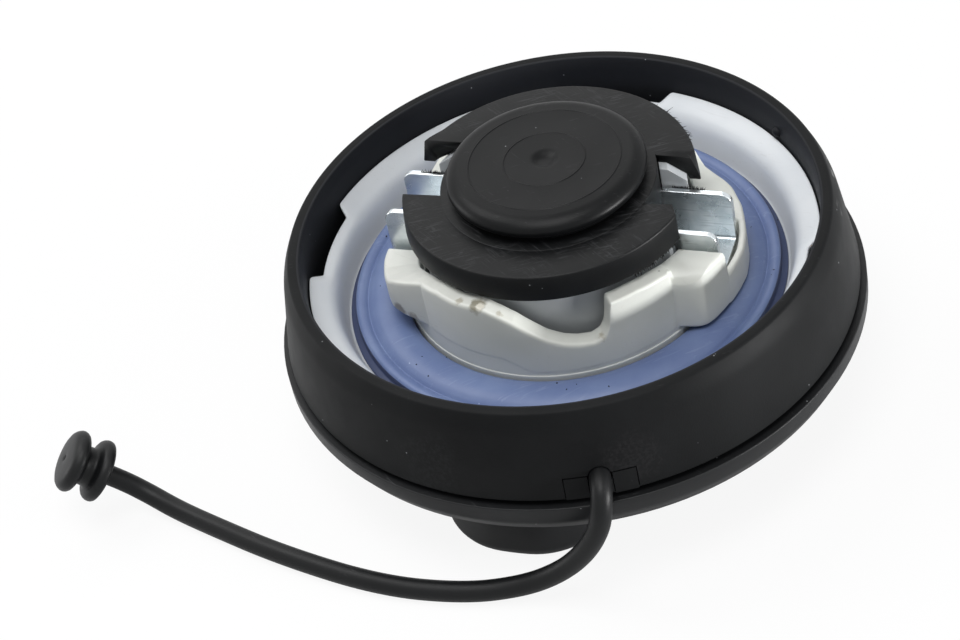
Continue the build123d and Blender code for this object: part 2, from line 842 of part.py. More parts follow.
# ---------------------------------------------------------------- ratchet
def ratchet_base():
    """Height of the cover's inner face, on which the ratchet ring stands."""
    return cover_face_height + cover_wall


def ratchet_ring():
    """Toothed ring fixed in the cover; the teeth point inwards."""
    points = []
    pitch = 360 / ratchet_teeth
    for index in range(ratchet_teeth):
        points.append(flat_polar(ratchet_root_radius, index * pitch))
        points.append(flat_polar(ratchet_inner_radius, (index + ratchet_tooth_rise) * pitch))
    body = Circle(ratchet_outer_radius) - make_face(Polyline(*points, close=True))
    return Pos(0, 0, ratchet_base()) * extrude(body, ratchet_height)


def pawl_ring():
    """Springy ring under the dish whose curved arms click over the ratchet teeth."""
    top = dish_seat_height - dish_wall
    low = ratchet_base() + thrust_clearance
    body = Circle(pawl_ring_outer) - Circle(pawl_ring_inner)
    flank = ratchet_root_radius - pawl_clearance
    flank_fall = ratchet_tooth_depth * ratchet_teeth / (ratchet_tooth_rise * 360)
    nose_inner = ratchet_inner_radius - 2 * pawl_arm_width
    arm_start = pawl_ring_outer - pawl_root_sink
    arm_end = ratchet_inner_radius - pawl_clearance - pawl_arm_depth
    arm_middle = (pawl_ring_outer + arm_end) / 2 + pawl_arm_bow
    nose_stop = pawl_lead_angle + pawl_nose_angle
    for index in range(pawl_count):
        turn = index * 360 / pawl_count
        arm = trace(ThreePointArc(
            flat_polar(arm_start, turn + pawl_reach),
            flat_polar(arm_middle, turn + pawl_reach / 2 + pawl_nose_angle / 2),
            flat_polar(arm_end, turn + nose_stop - 2 * pawl_lead_angle),
        ), pawl_arm_width)
        nose = make_face(Polyline(
            flat_polar(flank - flank_fall * pawl_lead_angle, turn + pawl_lead_angle),
            flat_polar(flank - flank_fall * nose_stop, turn + nose_stop),
            flat_polar(nose_inner, turn + nose_stop),
            flat_polar(nose_inner, turn + pawl_lead_angle),
            close=True,
        ))
        body = body + arm + nose
    return Pos(0, 0, low) * extrude(body, top - low)


# ---------------------------------------------------------------- tether
def tether_radii():
    """Bend radii of the tether's route, each as large as its two runs allow."""
    points = [Vector(*point) for point in tether_points]
    radii = []
    for before, corner, after in zip(points, points[1:], points[2:]):
        shorter = min((corner - before).length, (after - corner).length)
        turn = (corner - before).get_angle(after - corner)
        radii.append(tether_run_share * shorter / tan(radians(turn) / 2))
    return radii


def tether():
    """Plain round tether from the anchor to the plug."""
    path = FilletPolyline(*tether_points, radius=tether_radii())
    section = Plane(origin=path @ 0, z_dir=path % 0) * Circle(tether_diameter / 2)
    return sweep(section, path=path), path.length


def tether_plug():
    """Mushroom plug at the free end: round flange, neck and rounded head with a dimple."""
    flange_middle = plug_flange_thickness / 2
    neck_top = plug_flange_thickness + plug_neck_length
    head_middle = neck_top + plug_head_thickness / 2
    face = neck_top + plug_head_thickness
    flange = ThreePointArc(
        (plug_neck_radius, 0), (plug_radius, flange_middle), (plug_neck_radius, plug_flange_thickness),
    )
    neck = Polyline((plug_neck_radius, plug_flange_thickness), (plug_neck_radius, neck_top))
    head = ThreePointArc(
        (plug_neck_radius, neck_top), (plug_radius, head_middle), (plug_head_face_radius, face),
    )
    end = Polyline(
        (plug_head_face_radius, face), (plug_dimple_radius, face), (0, face - plug_dimple_depth),
        (0, 0), (plug_neck_radius, 0),
    )
    plug = revolve(Plane.XZ * make_face(flange + neck + head + end), Axis.Z)
    start = Vector(*tether_points[-1])
    return Plane(origin=start, z_dir=start - Vector(*tether_points[-2])) * plug


# ---------------------------------------------------------------- build
pieces = {
    "grip_cover": grip_cover,
    "skirt_ring": skirt_ring,
    "tether_anchor": tether_anchor,
    "ratchet_ring": ratchet_ring,
    "inner_dish": inner_dish,
    "pawl_ring": pawl_ring,
    "seal_ring": seal_ring,
    "cam_sleeve": cam_sleeve,
    "core_barrel": core_barrel,
    "barrel_o_ring": barrel_o_ring,
    "bayonet_head": bayonet_head,
    "valve_cap": valve_cap,
    "lock_bar": lock_bar,
    "lock_spring": lock_spring,
    "pressure_plate": pressure_plate,
    "valve_seal": valve_seal,
    "pressure_spring": pressure_spring,
    "spring_retainer": spring_retainer,
    "vacuum_poppet": vacuum_poppet,
    "vacuum_clip": vacuum_clip,
    "vacuum_spring": vacuum_spring,
    "tether_plug": tether_plug,
}
for name, make in pieces.items():
    save(make(), name)

tether_solid, tether_length = tether()
save(tether_solid, "tether")
section_volume = pi * (tether_diameter / 2) ** 2 * tether_length
print("tether radii", [round(radius, 1) for radius in tether_radii()])
print(f"tether length {tether_length:.1f}, volume {tether_solid.volume:.1f} of {section_volume:.1f}")
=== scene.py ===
# %% [markdown]
# # A bayonet fuel filler cap, upside down on its grip
# This lesson dresses a mechanical model of a fuel filler cap. The cap stands on the flat of its grip
# bar, so its working side looks up: a rubber skirt on a moulded cover, a white seal carrier, a blue
# seal, an ivory cam sleeve, a black bayonet head and a steel lock bar.
#
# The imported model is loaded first. It fixes every size, tells which piece moves with which body, and
# stays in place as the frame that each new piece is fitted to. Everything is in metres, and MM turns
# the millimetres of a drawing into them.

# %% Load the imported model
import math

import bmesh
import bpy
from mathutils import Matrix, Vector


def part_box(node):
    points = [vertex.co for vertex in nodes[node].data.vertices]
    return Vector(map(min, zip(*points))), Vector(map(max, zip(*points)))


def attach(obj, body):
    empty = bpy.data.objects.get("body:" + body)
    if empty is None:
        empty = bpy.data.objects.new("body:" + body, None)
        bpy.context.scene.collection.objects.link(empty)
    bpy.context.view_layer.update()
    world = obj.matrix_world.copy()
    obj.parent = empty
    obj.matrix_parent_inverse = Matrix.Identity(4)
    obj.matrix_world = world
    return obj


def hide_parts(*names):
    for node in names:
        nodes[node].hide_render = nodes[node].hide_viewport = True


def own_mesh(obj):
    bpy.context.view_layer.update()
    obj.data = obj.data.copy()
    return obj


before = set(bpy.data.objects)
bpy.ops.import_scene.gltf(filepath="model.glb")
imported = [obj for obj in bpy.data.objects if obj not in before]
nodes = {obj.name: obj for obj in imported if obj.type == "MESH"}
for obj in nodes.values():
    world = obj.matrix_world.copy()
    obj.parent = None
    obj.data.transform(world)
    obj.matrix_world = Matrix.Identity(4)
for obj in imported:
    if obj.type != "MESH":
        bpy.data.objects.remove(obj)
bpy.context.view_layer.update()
MM = 0.001

# %% [markdown]
# ## The camera
# A long lens from well above the bench looks into the open side of the cap. A short lens close by
# would show the same side, but it would make the near rim look much larger than the far one. The
# camera is placed first, because the tether has to lie inside its view.

# %% Camera
camera_data = bpy.data.cameras.new("camera")
camera_data.lens = 100.0
camera_data.sensor_width = 36.0
camera = bpy.data.objects.new("camera", camera_data)
camera.location = (0.11526, -0.26520, 0.27180)
camera.rotation_euler = [math.radians(a) for a in (47.626, 9.746, 17.424)]
bpy.context.scene.collection.objects.link(camera)
bpy.context.scene.camera = camera
print("camera:", camera_data.lens, "mm lens,", round(camera.location.length, 3), "m from the cap")

# %% [markdown]
# ## The tether's line
# The tether is a round cord moulded from a soft thermoplastic. It leaves the skirt, falls down the
# side of the cap, lies on the bench and rises to its plug. It could be simulated, but a short springy
# cord keeps the bend it was moulded with. A NURBS curve with a few control points gives that even
# line, and a round bevel gives its thickness.

# %% Tether: control points and curve
# millimetres, in the cap's frame
TETHER_DIAMETER = 3.0
TETHER_POINTS = [
    (14.75, -36.32, 19.9), (15.95, -39.28, 19.9), (16.50, -41.60, 17.9), (15.70, -42.60, 13.9),
    (12.90, -42.90, 9.2), (9.00, -43.10, 5.2), (3.60, -43.90, 2.4), (-4.50, -45.70, 1.5),
    (-16.80, -46.20, 1.5), (-33.00, -42.90, 1.5), (-46.00, -38.80, 1.5), (-52.00, -36.80, 1.6),
    (-56.70, -35.50, 2.9), (-60.10, -35.60, 5.2), (-62.30, -36.40, 7.3),
]
tether_data = bpy.data.curves.new("tether_cord", "CURVE")
tether_data.dimensions = "3D"
tether_data.resolution_u = 12
tether_data.bevel_depth = TETHER_DIAMETER / 2 * MM
tether_data.bevel_resolution = 6
tether_data.use_fill_caps = True
route = tether_data.splines.new("NURBS")
route.points.add(len(TETHER_POINTS) - 1)
for control, (x, y, z) in zip(route.points, TETHER_POINTS):
    control.co = (x * MM, y * MM, z * MM, 1.0)
route.order_u = 3
route.use_endpoint_u = True
tether = bpy.data.objects.new("tether_cord", tether_data)
bpy.context.scene.collection.objects.link(tether)
print("tether:", len(TETHER_POINTS), "control points,", TETHER_DIAMETER, "mm thick")

# %% [markdown]
# ## Colours and nodes
# Colours are written as sRGB hex values, as on a paint chart, and one function turns them to the
# linear numbers that the shaders use. One more adds a node with its settings and its links, so that
# each material below reads like a recipe. Every pattern reads Object coordinates, so it stays on its
# piece when the piece moves.

# %% Colours and nodes
def colour(hex_code):
    """Linear RGBA of an sRGB hex value."""
    channels = [int(hex_code[i:i + 2], 16) / 255 for i in (1, 3, 5)]
    linear = [c / 12.92 if c <= 0.04045 else ((c + 0.055) / 1.055) ** 2.4 for c in channels]
    return (*linear, 1.0)


def add(tree, kind, inputs=None, **settings):
    """Add a node of a kind, set its properties, and fill its inputs with values or links."""
    made = tree.nodes.new(kind)
    for key, value in settings.items():
        setattr(made, key, value)
    for key, value in (inputs or {}).items():
        if isinstance(value, bpy.types.NodeSocket):
            tree.links.new(value, made.inputs[key])
        else:
            made.inputs[key].default_value = value
    return made


def start_material(name):
    """An empty material: its node tree, and the Object coordinates its patterns read."""
    material = bpy.data.materials.new(name)
    material.use_nodes = True
    tree = material.node_tree
    tree.nodes.clear()
    place = add(tree, "ShaderNodeTexCoord").outputs["Object"]
    return material, tree, place


def end_material(tree, **inputs):
    """Close a material with a Principled shader."""
    named = {key.replace("_", " "): value for key, value in inputs.items()}
    shader = add(tree, "ShaderNodeBsdfPrincipled", named)
    add(tree, "ShaderNodeOutputMaterial", {"Surface": shader.outputs[0]})


def per_mm(size):
    """Texture scale at which one feature is this many millimetres wide."""
    return 1.0 / (size * MM)


print("pure mid grey #808080 in linear light:", round(colour("#808080")[0], 3))

# %% [markdown]
# ## The bench
# The cap stands on white paper. A plain white sheet lit by lamps would turn grey towards its far
# edge, so to the camera it also glows a little. It stays a matt sheet for the light itself, so it
# keeps the cap's soft shadow, and shiny pieces mirror it only in part.

# %% Bench
BENCH_SIZE = 3.0
FLOOR_GLOW = 0.9
FLOOR_MIRRORED = 0.3


def link_mesh(name, bm):
    """Make an object at the origin from a bmesh, with its faces pointing outwards."""
    bmesh.ops.remove_doubles(bm, verts=bm.verts, dist=1e-7)
    bmesh.ops.recalc_face_normals(bm, faces=bm.faces)
    mesh = bpy.data.meshes.new(name)
    bm.to_mesh(mesh)
    bm.free()
    mesh.shade_smooth()
    piece = bpy.data.objects.new(name, mesh)
    bpy.context.scene.collection.objects.link(piece)
    return piece


floor_material, tree, _ = start_material("white_bench_paper")
paper = add(tree, "ShaderNodeBsdfDiffuse", {"Color": colour("#f4f4f4")})
glow = add(tree, "ShaderNodeEmission", {"Color": (1, 1, 1, 1), "Strength": 1.0})
rays = add(tree, "ShaderNodeLightPath").outputs
seen = add(tree, "ShaderNodeMath", {0: rays["Is Camera Ray"], 1: rays["Is Transmission Ray"]},
           operation="MAXIMUM")
seen = add(tree, "ShaderNodeMath", {0: seen.outputs[0], 1: FLOOR_GLOW}, operation="MULTIPLY")
mirrored = add(tree, "ShaderNodeMath", {0: rays["Is Glossy Ray"], 1: FLOOR_MIRRORED}, operation="MULTIPLY")
share = add(tree, "ShaderNodeMath", {0: seen.outputs[0], 1: mirrored.outputs[0]}, operation="MAXIMUM")
mixed = add(tree, "ShaderNodeMixShader", {0: share.outputs[0], 1: paper.outputs[0], 2: glow.outputs[0]})
add(tree, "ShaderNodeOutputMaterial", {"Surface": mixed.outputs[0]})

bm = bmesh.new()
bmesh.ops.create_grid(bm, x_segments=1, y_segments=1, size=BENCH_SIZE)
floor = link_mesh("bench", bm)
floor.data.materials.append(floor_material)
print("bench:", round(2 * max(v.co.x for v in floor.data.vertices), 2), "m square")

# %% [markdown]
# ## Studio light
# The world is white to the camera and in reflections, and much weaker where it lights the cap. Six
# area lamps then give the shading. Two large ones from above light the faces that look up, one from
# the right fills their shadows, one from behind draws a sheen on the flat tops, and two low ones
# light the rim from the sides. Small lamps would be simpler to place, but their shadows are hard.

# %% World
WORLD_LIGHT = 0.22
world = bpy.data.worlds.new("studio")
bpy.context.scene.world = world
world.use_nodes = True
tree = world.node_tree
tree.nodes.clear()
white = add(tree, "ShaderNodeBackground", {"Color": (1, 1, 1, 1), "Strength": 1.0})
soft = add(tree, "ShaderNodeBackground", {"Color": colour("#f2f5fa"), "Strength": WORLD_LIGHT})
rays = add(tree, "ShaderNodeLightPath").outputs
seen = add(tree, "ShaderNodeMath", {0: rays["Is Camera Ray"], 1: rays["Is Glossy Ray"]},
           operation="MAXIMUM")
seen = add(tree, "ShaderNodeMath", {0: seen.outputs[0], 1: rays["Is Transmission Ray"]},
           operation="MAXIMUM")
mixed = add(tree, "ShaderNodeMixShader", {0: seen.outputs[0], 1: soft.outputs[0], 2: white.outputs[0]})
add(tree, "ShaderNodeOutputWorld", {"Surface": mixed.outputs[0]})
print("world lights the cap at", WORLD_LIGHT, "of white")

# %% Lamps
AIM = Vector((0, 0, 20 * MM))

# name: place in m, size in m, power in W
LAMPS = {
    "key_from_left": ((-0.42, 0.10, 0.60), (0.35, 0.35), 1.7),
    "overhead": ((0.02, -0.16, 0.72), (0.40, 0.40), 2.9),
    "fill_from_right": ((0.56, 0.02, 0.40), (0.25, 0.30), 0.4),
    "sheen_from_behind": ((-0.23, 0.54, 0.55), (0.50, 0.35), 0.72),
    "edge_light_right": ((0.60, -0.04, 0.045), (0.20, 0.06), 4.0),
    "edge_light_left": ((-0.60, -0.06, 0.12), (0.20, 0.30), 0.8),
}
for name, (place, size, power) in LAMPS.items():
    data = bpy.data.lights.new(name, "AREA")
    data.shape = "RECTANGLE"
    data.size, data.size_y = size
    data.energy = power
    lamp = bpy.data.objects.new(name, data)
    lamp.location = place
    lamp.rotation_euler = (AIM - Vector(place)).to_track_quat("-Z", "Y").to_euler()
    bpy.context.scene.collection.objects.link(lamp)
bpy.context.scene.view_settings.view_transform = "Standard"
print(len(LAMPS), "lamps,", round(sum(power for _, _, power in LAMPS.values()), 2), "W in all")

# %% [markdown]
# ## Patterns that every finish shares
# No real surface has one flat colour. A moulding drifts between two close shades, has a fine grain
# from the mould, and its gloss wanders a little. An image could hold all that, but it would need a
# picture and UVs. Noise at a size in millimetres needs neither.

# %% Drifting colour, gloss and grain
# Grain from an etched mould is about 0.05 mm wide. It is drawn at 0.2 to 0.5 mm, so that it shows.
DRIFT_LOW, DRIFT_HIGH = 0.3, 0.7


def mottled(tree, place, size, detail, first, second):
    """A colour that drifts between two hex shades, in patches of a size in millimetres."""
    patches = add(tree, "ShaderNodeTexNoise", {"Vector": place, "Scale": per_mm(size), "Detail": detail})
    inputs = {"Value": patches.outputs["Fac"], "From Min": DRIFT_LOW, "From Max": DRIFT_HIGH}
    share = add(tree, "ShaderNodeMapRange", inputs).outputs["Result"]
    inputs = {"Factor": share, 6: colour(first), 7: colour(second)}
    return add(tree, "ShaderNodeMix", inputs, data_type="RGBA").outputs[2]


def uneven(tree, place, size, detail, low, high):
    """A number that wanders between two values over the surface, for its roughness."""
    patches = add(tree, "ShaderNodeTexNoise", {"Vector": place, "Scale": per_mm(size), "Detail": detail})
    inputs = {"Value": patches.outputs["Fac"], "To Min": low, "To Max": high}
    return add(tree, "ShaderNodeMapRange", inputs).outputs["Result"]


def grained(tree, place, size, depth, detail=2.0):
    """The grain a mould leaves: relief with bumps of a size and a depth in millimetres."""
    grain = add(tree, "ShaderNodeTexNoise", {"Vector": place, "Scale": per_mm(size), "Detail": detail})
    inputs = {"Height": grain.outputs["Fac"], "Distance": depth * MM}
    return add(tree, "ShaderNodeBump", inputs).outputs["Normal"]


print("one feature of 9 mm is texture scale", round(per_mm(9.0), 1))

# %% [markdown]
# ## Marks that a used part carries
# Dust, scratches and stains tell that the cap was used. Each mark is a mask, 1 where the mark is and
# 0 elsewhere, and a colour is laid over the one beneath by that mask. Dust is a cell pattern with
# only some cells filled, a scratch is noise stretched along one direction, and a stain is a ball in
# space with a ragged edge, so it is placed in millimetres like any other part.

# %% Dust specks and stains
def stained(tree, under, mask, hex_code, strength=1.0):
    """Lay a colour over another where a mask is 1, as strongly as strength says."""
    share = add(tree, "ShaderNodeMath", {0: mask, 1: strength}, operation="MULTIPLY").outputs[0]
    inputs = {"Factor": share, 6: under, 7: colour(hex_code)}
    return add(tree, "ShaderNodeMix", inputs, data_type="RGBA").outputs[2]


def specks(tree, place, spacing, size, share):
    """Small round specks: a mask that is 1 inside a speck, with only some cells filled."""
    cells = add(tree, "ShaderNodeTexVoronoi", {"Vector": place, "Scale": per_mm(spacing)})
    inputs = {"Value": cells.outputs["Distance"], "From Min": size / spacing,
              "From Max": 0.5 * size / spacing}
    near = add(tree, "ShaderNodeMapRange", inputs).outputs["Result"]
    parts = add(tree, "ShaderNodeSeparateColor", {"Color": cells.outputs["Color"]})
    chosen = add(tree, "ShaderNodeMath", {0: parts.outputs[0], 1: share}, operation="LESS_THAN").outputs[0]
    return add(tree, "ShaderNodeMath", {0: near, 1: chosen}, operation="MULTIPLY").outputs[0]


def spot(tree, place, centre, radius, ragged=0.5):
    """A ragged spot round a point given in millimetres: 1 in its middle, 0 outside."""
    inputs = {"Vector": place, "Scale": per_mm(radius * 0.5), "Detail": 3.0}
    rough = add(tree, "ShaderNodeTexNoise", inputs).outputs["Fac"]
    inputs = {"Value": rough, "To Min": (1 - ragged) * radius * MM, "To Max": (1 + ragged) * radius * MM}
    edge = add(tree, "ShaderNodeMapRange", inputs).outputs["Result"]
    middle = [v * MM for v in centre]
    far = add(tree, "ShaderNodeVectorMath", {0: place, 1: middle}, operation="DISTANCE").outputs["Value"]
    share = add(tree, "ShaderNodeMath", {0: far, 1: edge}, operation="DIVIDE").outputs[0]
    inputs = {"Value": share, "From Min": 1.0, "From Max": 0.6}
    return add(tree, "ShaderNodeMapRange", inputs).outputs["Result"]


print("dust cells of 1.6 mm are texture scale", round(per_mm(1.6), 1))

# %% Scratches and distance from the axis
# A real scratch is a few hundredths of a millimetre wide. It is drawn at 0.2 to 0.5 mm, to show.

# noise above the crest values is a scratch, and it is kept only in patches
CREST_FROM, CREST_TO = 0.72, 0.78
PATCH_FROM, PATCH_TO = 0.44, 0.62


def scratches(tree, place, turn, length, width, share, sway=0.6):
    """Fine scratches in patches: noise stretched along one direction, kept only at its crests."""
    inputs = {"Vector": place, "Rotation": (0, 0, math.radians(turn)),
              "Scale": (length * MM, width * MM, width * MM)}
    stretched = add(tree, "ShaderNodeMapping", inputs, vector_type="TEXTURE").outputs[0]
    inputs = {"Vector": stretched, "Scale": 1.0, "Detail": 3.0, "Distortion": sway}
    lines = add(tree, "ShaderNodeTexNoise", inputs).outputs["Fac"]
    inputs = {"Value": lines, "From Min": CREST_FROM - share, "From Max": CREST_TO - share}
    crests = add(tree, "ShaderNodeMapRange", inputs).outputs["Result"]
    inputs = {"Vector": place, "Scale": per_mm(1.2 * length), "Detail": 2.0}
    where = add(tree, "ShaderNodeTexNoise", inputs).outputs["Fac"]
    inputs = {"Value": where, "From Min": PATCH_FROM, "From Max": PATCH_TO}
    patches = add(tree, "ShaderNodeMapRange", inputs).outputs["Result"]
    return add(tree, "ShaderNodeMath", {0: crests, 1: patches}, operation="MULTIPLY").outputs[0]


def from_axis(tree, place):
    """Distance from the cap's axis, in metres."""
    flat = add(tree, "ShaderNodeVectorMath", {0: place, 1: (1, 1, 0)}, operation="MULTIPLY").outputs[0]
    return add(tree, "ShaderNodeVectorMath", {0: flat}, operation="LENGTH").outputs["Value"]


print("with a share of 0.1, noise above", round(CREST_FROM - 0.1, 2), "starts to be a scratch")

# %% [markdown]
# ## Black plastics and rubber
# Six finishes are black, and no two are alike. Carbon black swallows nearly all light, so what the
# eye reads is the gloss: matt on rubber, silky on nylon, satin on acetal. Six trees could be built by
# hand, but one recipe with a few numbers keeps them related. Scratches show only where a surface
# looks up: they are real wear, and keeping their lighter colour off the sides is also painted light,
# so the tops read lighter and the sides darker.

# %% Recipe for a black moulding
UP_FROM, UP_TO = 0.5, 0.9
SCRATCH_DEPTH, SCRATCH_STRENGTH = 0.012, 0.6


def black_moulding(name, base, light, rough, specular, grain, depth, dust, scratch=0.0, worn=None):
    """Black plastic or rubber: soft mottling, fine grain, dust specks, scratches and own wear."""
    material, tree, place = start_material(name)
    tone = mottled(tree, place, size=9.0, detail=4.0, first=base, second=light)
    if worn:
        tone = worn(tree, place, tone)
    relief = grained(tree, place, grain, depth)
    if scratch:
        lines = scratches(tree, place, turn=28.0, length=4.0, width=0.4, share=scratch, sway=1.6)
        crossing = scratches(tree, place, turn=-35.0, length=4.5, width=0.35, share=scratch - 0.02,
                             sway=1.4)
        both = add(tree, "ShaderNodeMath", {0: lines, 1: crossing}, operation="MAXIMUM").outputs[0]
        # scratches kept to faces that look up: real wear, and also painted light that leaves sides darker
        # than tops
        normal = add(tree, "ShaderNodeTexCoord").outputs["Normal"]
        height = add(tree, "ShaderNodeSeparateXYZ", {0: normal}).outputs[2]
        inputs = {"Value": height, "From Min": UP_FROM, "From Max": UP_TO}
        up = add(tree, "ShaderNodeMapRange", inputs).outputs["Result"]
        both = add(tree, "ShaderNodeMath", {0: both, 1: up}, operation="MULTIPLY").outputs[0]
        tone = stained(tree, tone, both, "#4a4b4d", 0.3)
        inputs = {"Height": both, "Distance": SCRATCH_DEPTH * MM, "Strength": SCRATCH_STRENGTH,
                  "Normal": relief}
        relief = add(tree, "ShaderNodeBump", inputs).outputs["Normal"]
    tone = stained(tree, tone, specks(tree, place, spacing=1.6, size=0.13, share=dust), "#8b8d90")
    gloss = uneven(tree, place, size=4.0, detail=3.0, low=rough - 0.05, high=rough + 0.07)
    end_material(tree, Base_Color=tone, Roughness=gloss, Normal=relief, IOR=1.5,
                 Specular_IOR_Level=specular)
    return material


print("a face counts as looking up where its normal rises past", UP_FROM)

# %% The skirt's own wear
# all in mm: the radius of the lighter bore, the rubbed place on the edge, and the heights and radii
# that bound it; RUB_DIRECTION is degrees, and BROKEN is the noise that breaks the smudges up
BORE_RADIUS = 37.5
RUB_CENTRE, RUB_RADIUS, RUB_DIRECTION = (35.9, 16.6, 28.0), 9.0, 113.0
RUB_FROM, RUB_TO = 26.6, 27.8
RUB_INNER, RUB_OUTER = 39.1, 39.4
BROKEN_FROM, BROKEN_TO = 0.44, 0.6

# centre in mm, radius in mm, colour
SMUDGES = [
    ((-38.5, -14.5, 20.0), 3.0, "#242526"),
    ((20.0, -36.5, 22.0), 5.0, "#19191a"),
    ((-8.0, -40.5, 21.0), 6.0, "#171819"),
]


def skirt_wear(tree, place, tone):
    """A lighter grey inside the bore, three smudges on the wall, and streaks rubbed along the outer edge.
    """
    far = from_axis(tree, place)
    bore = add(tree, "ShaderNodeMath", {0: far, 1: BORE_RADIUS * MM}, operation="LESS_THAN").outputs[0]
    tone = stained(tree, tone, bore, "#232427")
    inputs = {"Vector": place, "Scale": per_mm(0.55), "Detail": 5.0, "Roughness": 0.6}
    crumbly = add(tree, "ShaderNodeTexNoise", inputs).outputs["Fac"]
    inputs = {"Value": crumbly, "From Min": BROKEN_FROM, "From Max": BROKEN_TO, "To Min": 0.1}
    broken = add(tree, "ShaderNodeMapRange", inputs).outputs["Result"]
    for centre, radius, hex_code in SMUDGES:
        inputs = {0: spot(tree, place, centre, radius, 0.6), 1: broken}
        mark = add(tree, "ShaderNodeMath", inputs, operation="MULTIPLY").outputs[0]
        tone = stained(tree, tone, mark, hex_code)
    level = add(tree, "ShaderNodeSeparateXYZ", {0: place}).outputs[2]
    inputs = {"Value": level, "From Min": RUB_FROM * MM, "From Max": RUB_TO * MM}
    above = add(tree, "ShaderNodeMapRange", inputs).outputs["Result"]
    inputs = {"Value": far, "From Min": RUB_INNER * MM, "From Max": RUB_OUTER * MM}
    edge = add(tree, "ShaderNodeMapRange", inputs).outputs["Result"]
    streaks = scratches(tree, place, RUB_DIRECTION, length=3.0, width=0.3, share=0.26, sway=0.5)
    rubbed = spot(tree, place, RUB_CENTRE, RUB_RADIUS, 0.35)
    for part in (streaks, above, edge):
        rubbed = add(tree, "ShaderNodeMath", {0: rubbed, 1: part}, operation="MULTIPLY").outputs[0]
    return stained(tree, tone, rubbed, "#8f908f")


print(len(SMUDGES), "smudges and one rubbed edge on the skirt")

# %% The six blacks
# name, two shades, roughness, specular level, grain and its depth in mm, dust, scratches, own wear

# NBR rubber, compression moulded: matt, deep black, with dust that clings to it.
skirt_rubber = black_moulding("moulded_rubber", "#0b0c0d", "#121314", 0.52, 0.10, 0.25, 0.014, 0.14, 0.05,
                              skirt_wear)
# Glass-filled nylon from an etched mould: a silky dark grey sheen on the cover and the grip.
cover_plastic = black_moulding("textured_black_nylon", "#0f1011", "#141517", 0.45, 0.24, 0.2, 0.012, 0.08,
                               0.08)
# The same nylon with a matt finish: the hooks nearly vanish in their windows.
anchor_plastic = black_moulding("matt_anchor_nylon", "#0a0b0c", "#0f1011", 0.6, 0.12, 0.3, 0.01, 0.05)
# Thermoplastic elastomer, injection moulded: a soft broad highlight runs along the cord.
tether_plastic = black_moulding("soft_tether_elastomer", "#0d0e0f", "#121314", 0.42, 0.2, 0.3, 0.012, 0.08,
                                0.06)
# Black acetal, injection moulded: smooth and greasy, so each scratch on the head catches light.
head_plastic = black_moulding("moulded_black_acetal", "#060708", "#0d0e0f", 0.42, 0.17, 0.3, 0.01, 0.05,
                              0.17)
# The same acetal from a polished mould: the dome is a little shinier and has fewer scratches.
dome_plastic = black_moulding("satin_black_acetal", "#090a0b", "#0e0f10", 0.36, 0.125, 0.3, 0.006, 0.06,
                              0.07)
blacks = (skirt_rubber, cover_plastic, anchor_plastic, tether_plastic, head_plastic, dome_plastic)
print("blacks:", ", ".join(material.name for material in blacks))

# %% [markdown]
# ## Pale plastics
# The carrier, the barrel and the cam sleeve are mouldings without black in them. Light enters such a
# plastic and comes out a little further on, which softens every shadow edge. A plain diffuse surface
# would look painted, so a little subsurface scattering is used. Grime shows on pale plastic, and the
# cam sleeve gets its stains one by one, where the neck and the lock bar rub it.

# %% Recipe for a pale moulding
SCATTER_DEPTH = 1.5


def pale_moulding(name, base, light, rough, scatter, marks=(), specked=0.0):
    """Unpigmented or ivory plastic: light goes a little way in, and dirt marks the surface."""
    material, tree, place = start_material(name)
    tone = mottled(tree, place, size=12.0, detail=3.0, first=base, second=light)
    faint = scratches(tree, place, turn=-20.0, length=9.0, width=0.4, share=0.10)
    tone = stained(tree, tone, faint, "#8f8d86", 0.12)
    for centre, radius, hex_code in marks:
        tone = stained(tree, tone, spot(tree, place, centre, radius), hex_code)
    tone = stained(tree, tone, specks(tree, place, spacing=2.6, size=0.22, share=specked), "#4d493f")
    end_material(tree, Base_Color=tone, Roughness=rough, IOR=1.5,
                 Normal=grained(tree, place, size=0.5, depth=0.008), Subsurface_Weight=scatter,
                 Subsurface_Radius=(1.0, 0.95, 0.9), Subsurface_Scale=SCATTER_DEPTH * MM)
    return material


print("light travels about", SCATTER_DEPTH, "mm inside the pale plastics")

# %% The three pale plastics
# centre in mm, radius in mm, colour
CAM_MARKS = [
    ((-4.6, -21.4, 33.1), 1.35, "#8d8a7b"), ((-4.1, -21.7, 33.2), 0.75, "#d6d3c6"),
    ((-1.1, -22.0, 33.0), 0.9, "#a9a596"), ((-7.4, -20.8, 33.0), 0.7, "#b3b0a3"),
    ((11.6, -18.8, 26.6), 0.8, "#aeaa9c"), ((-19.6, -16.0, 25.4), 1.5, "#8f8b80"),
    ((-17.0, -17.0, 25.0), 1.2, "#a5a196"), ((15.6, -12.5, 32.8), 0.6, "#a09b8c"),
    ((20.0, -5.4, 31.8), 0.6, "#8b8676"),
]
# Unpigmented acetal, injection moulded: cool white, waxy, slightly see-through at its rim.
white_plastic = pale_moulding("natural_white_acetal", "#d2d6da", "#dcdfe2", 0.36, 0.3)
# The same acetal painted a greyer white: painted shade, for the barrel that lies in the shade of the head.
barrel_plastic_painted_shade = pale_moulding("acetal_painted_grey_shade", "#a9adb0", "#b4b7b9", 0.4, 0.3)
# Unfilled nylon, aged by fuel: warm ivory with stains and dark specks.
ivory_plastic = pale_moulding("ivory_nylon", "#d0d2cb", "#dadbd5", 0.38, 0.15, CAM_MARKS, 0.09)
print(len(CAM_MARKS), "stains on the cam sleeve")

# %% [markdown]
# ## Blue seal rubber
# The seal is fluorosilicone, which fuel doesn't swell, and makers colour it blue so that it isn't
# mixed up with other rubbers. Its skin is fine and silky. Dust and grit stick to it, and the neck
# draws faint light lines on it. Past the edge of its top the colour is painted dark navy, as painted
# shade for the seal's outer side, which lies in shadow beside the carrier.

# %% Blue seal rubber
SEAL_PAINTED_SHADE_FROM = 30.72
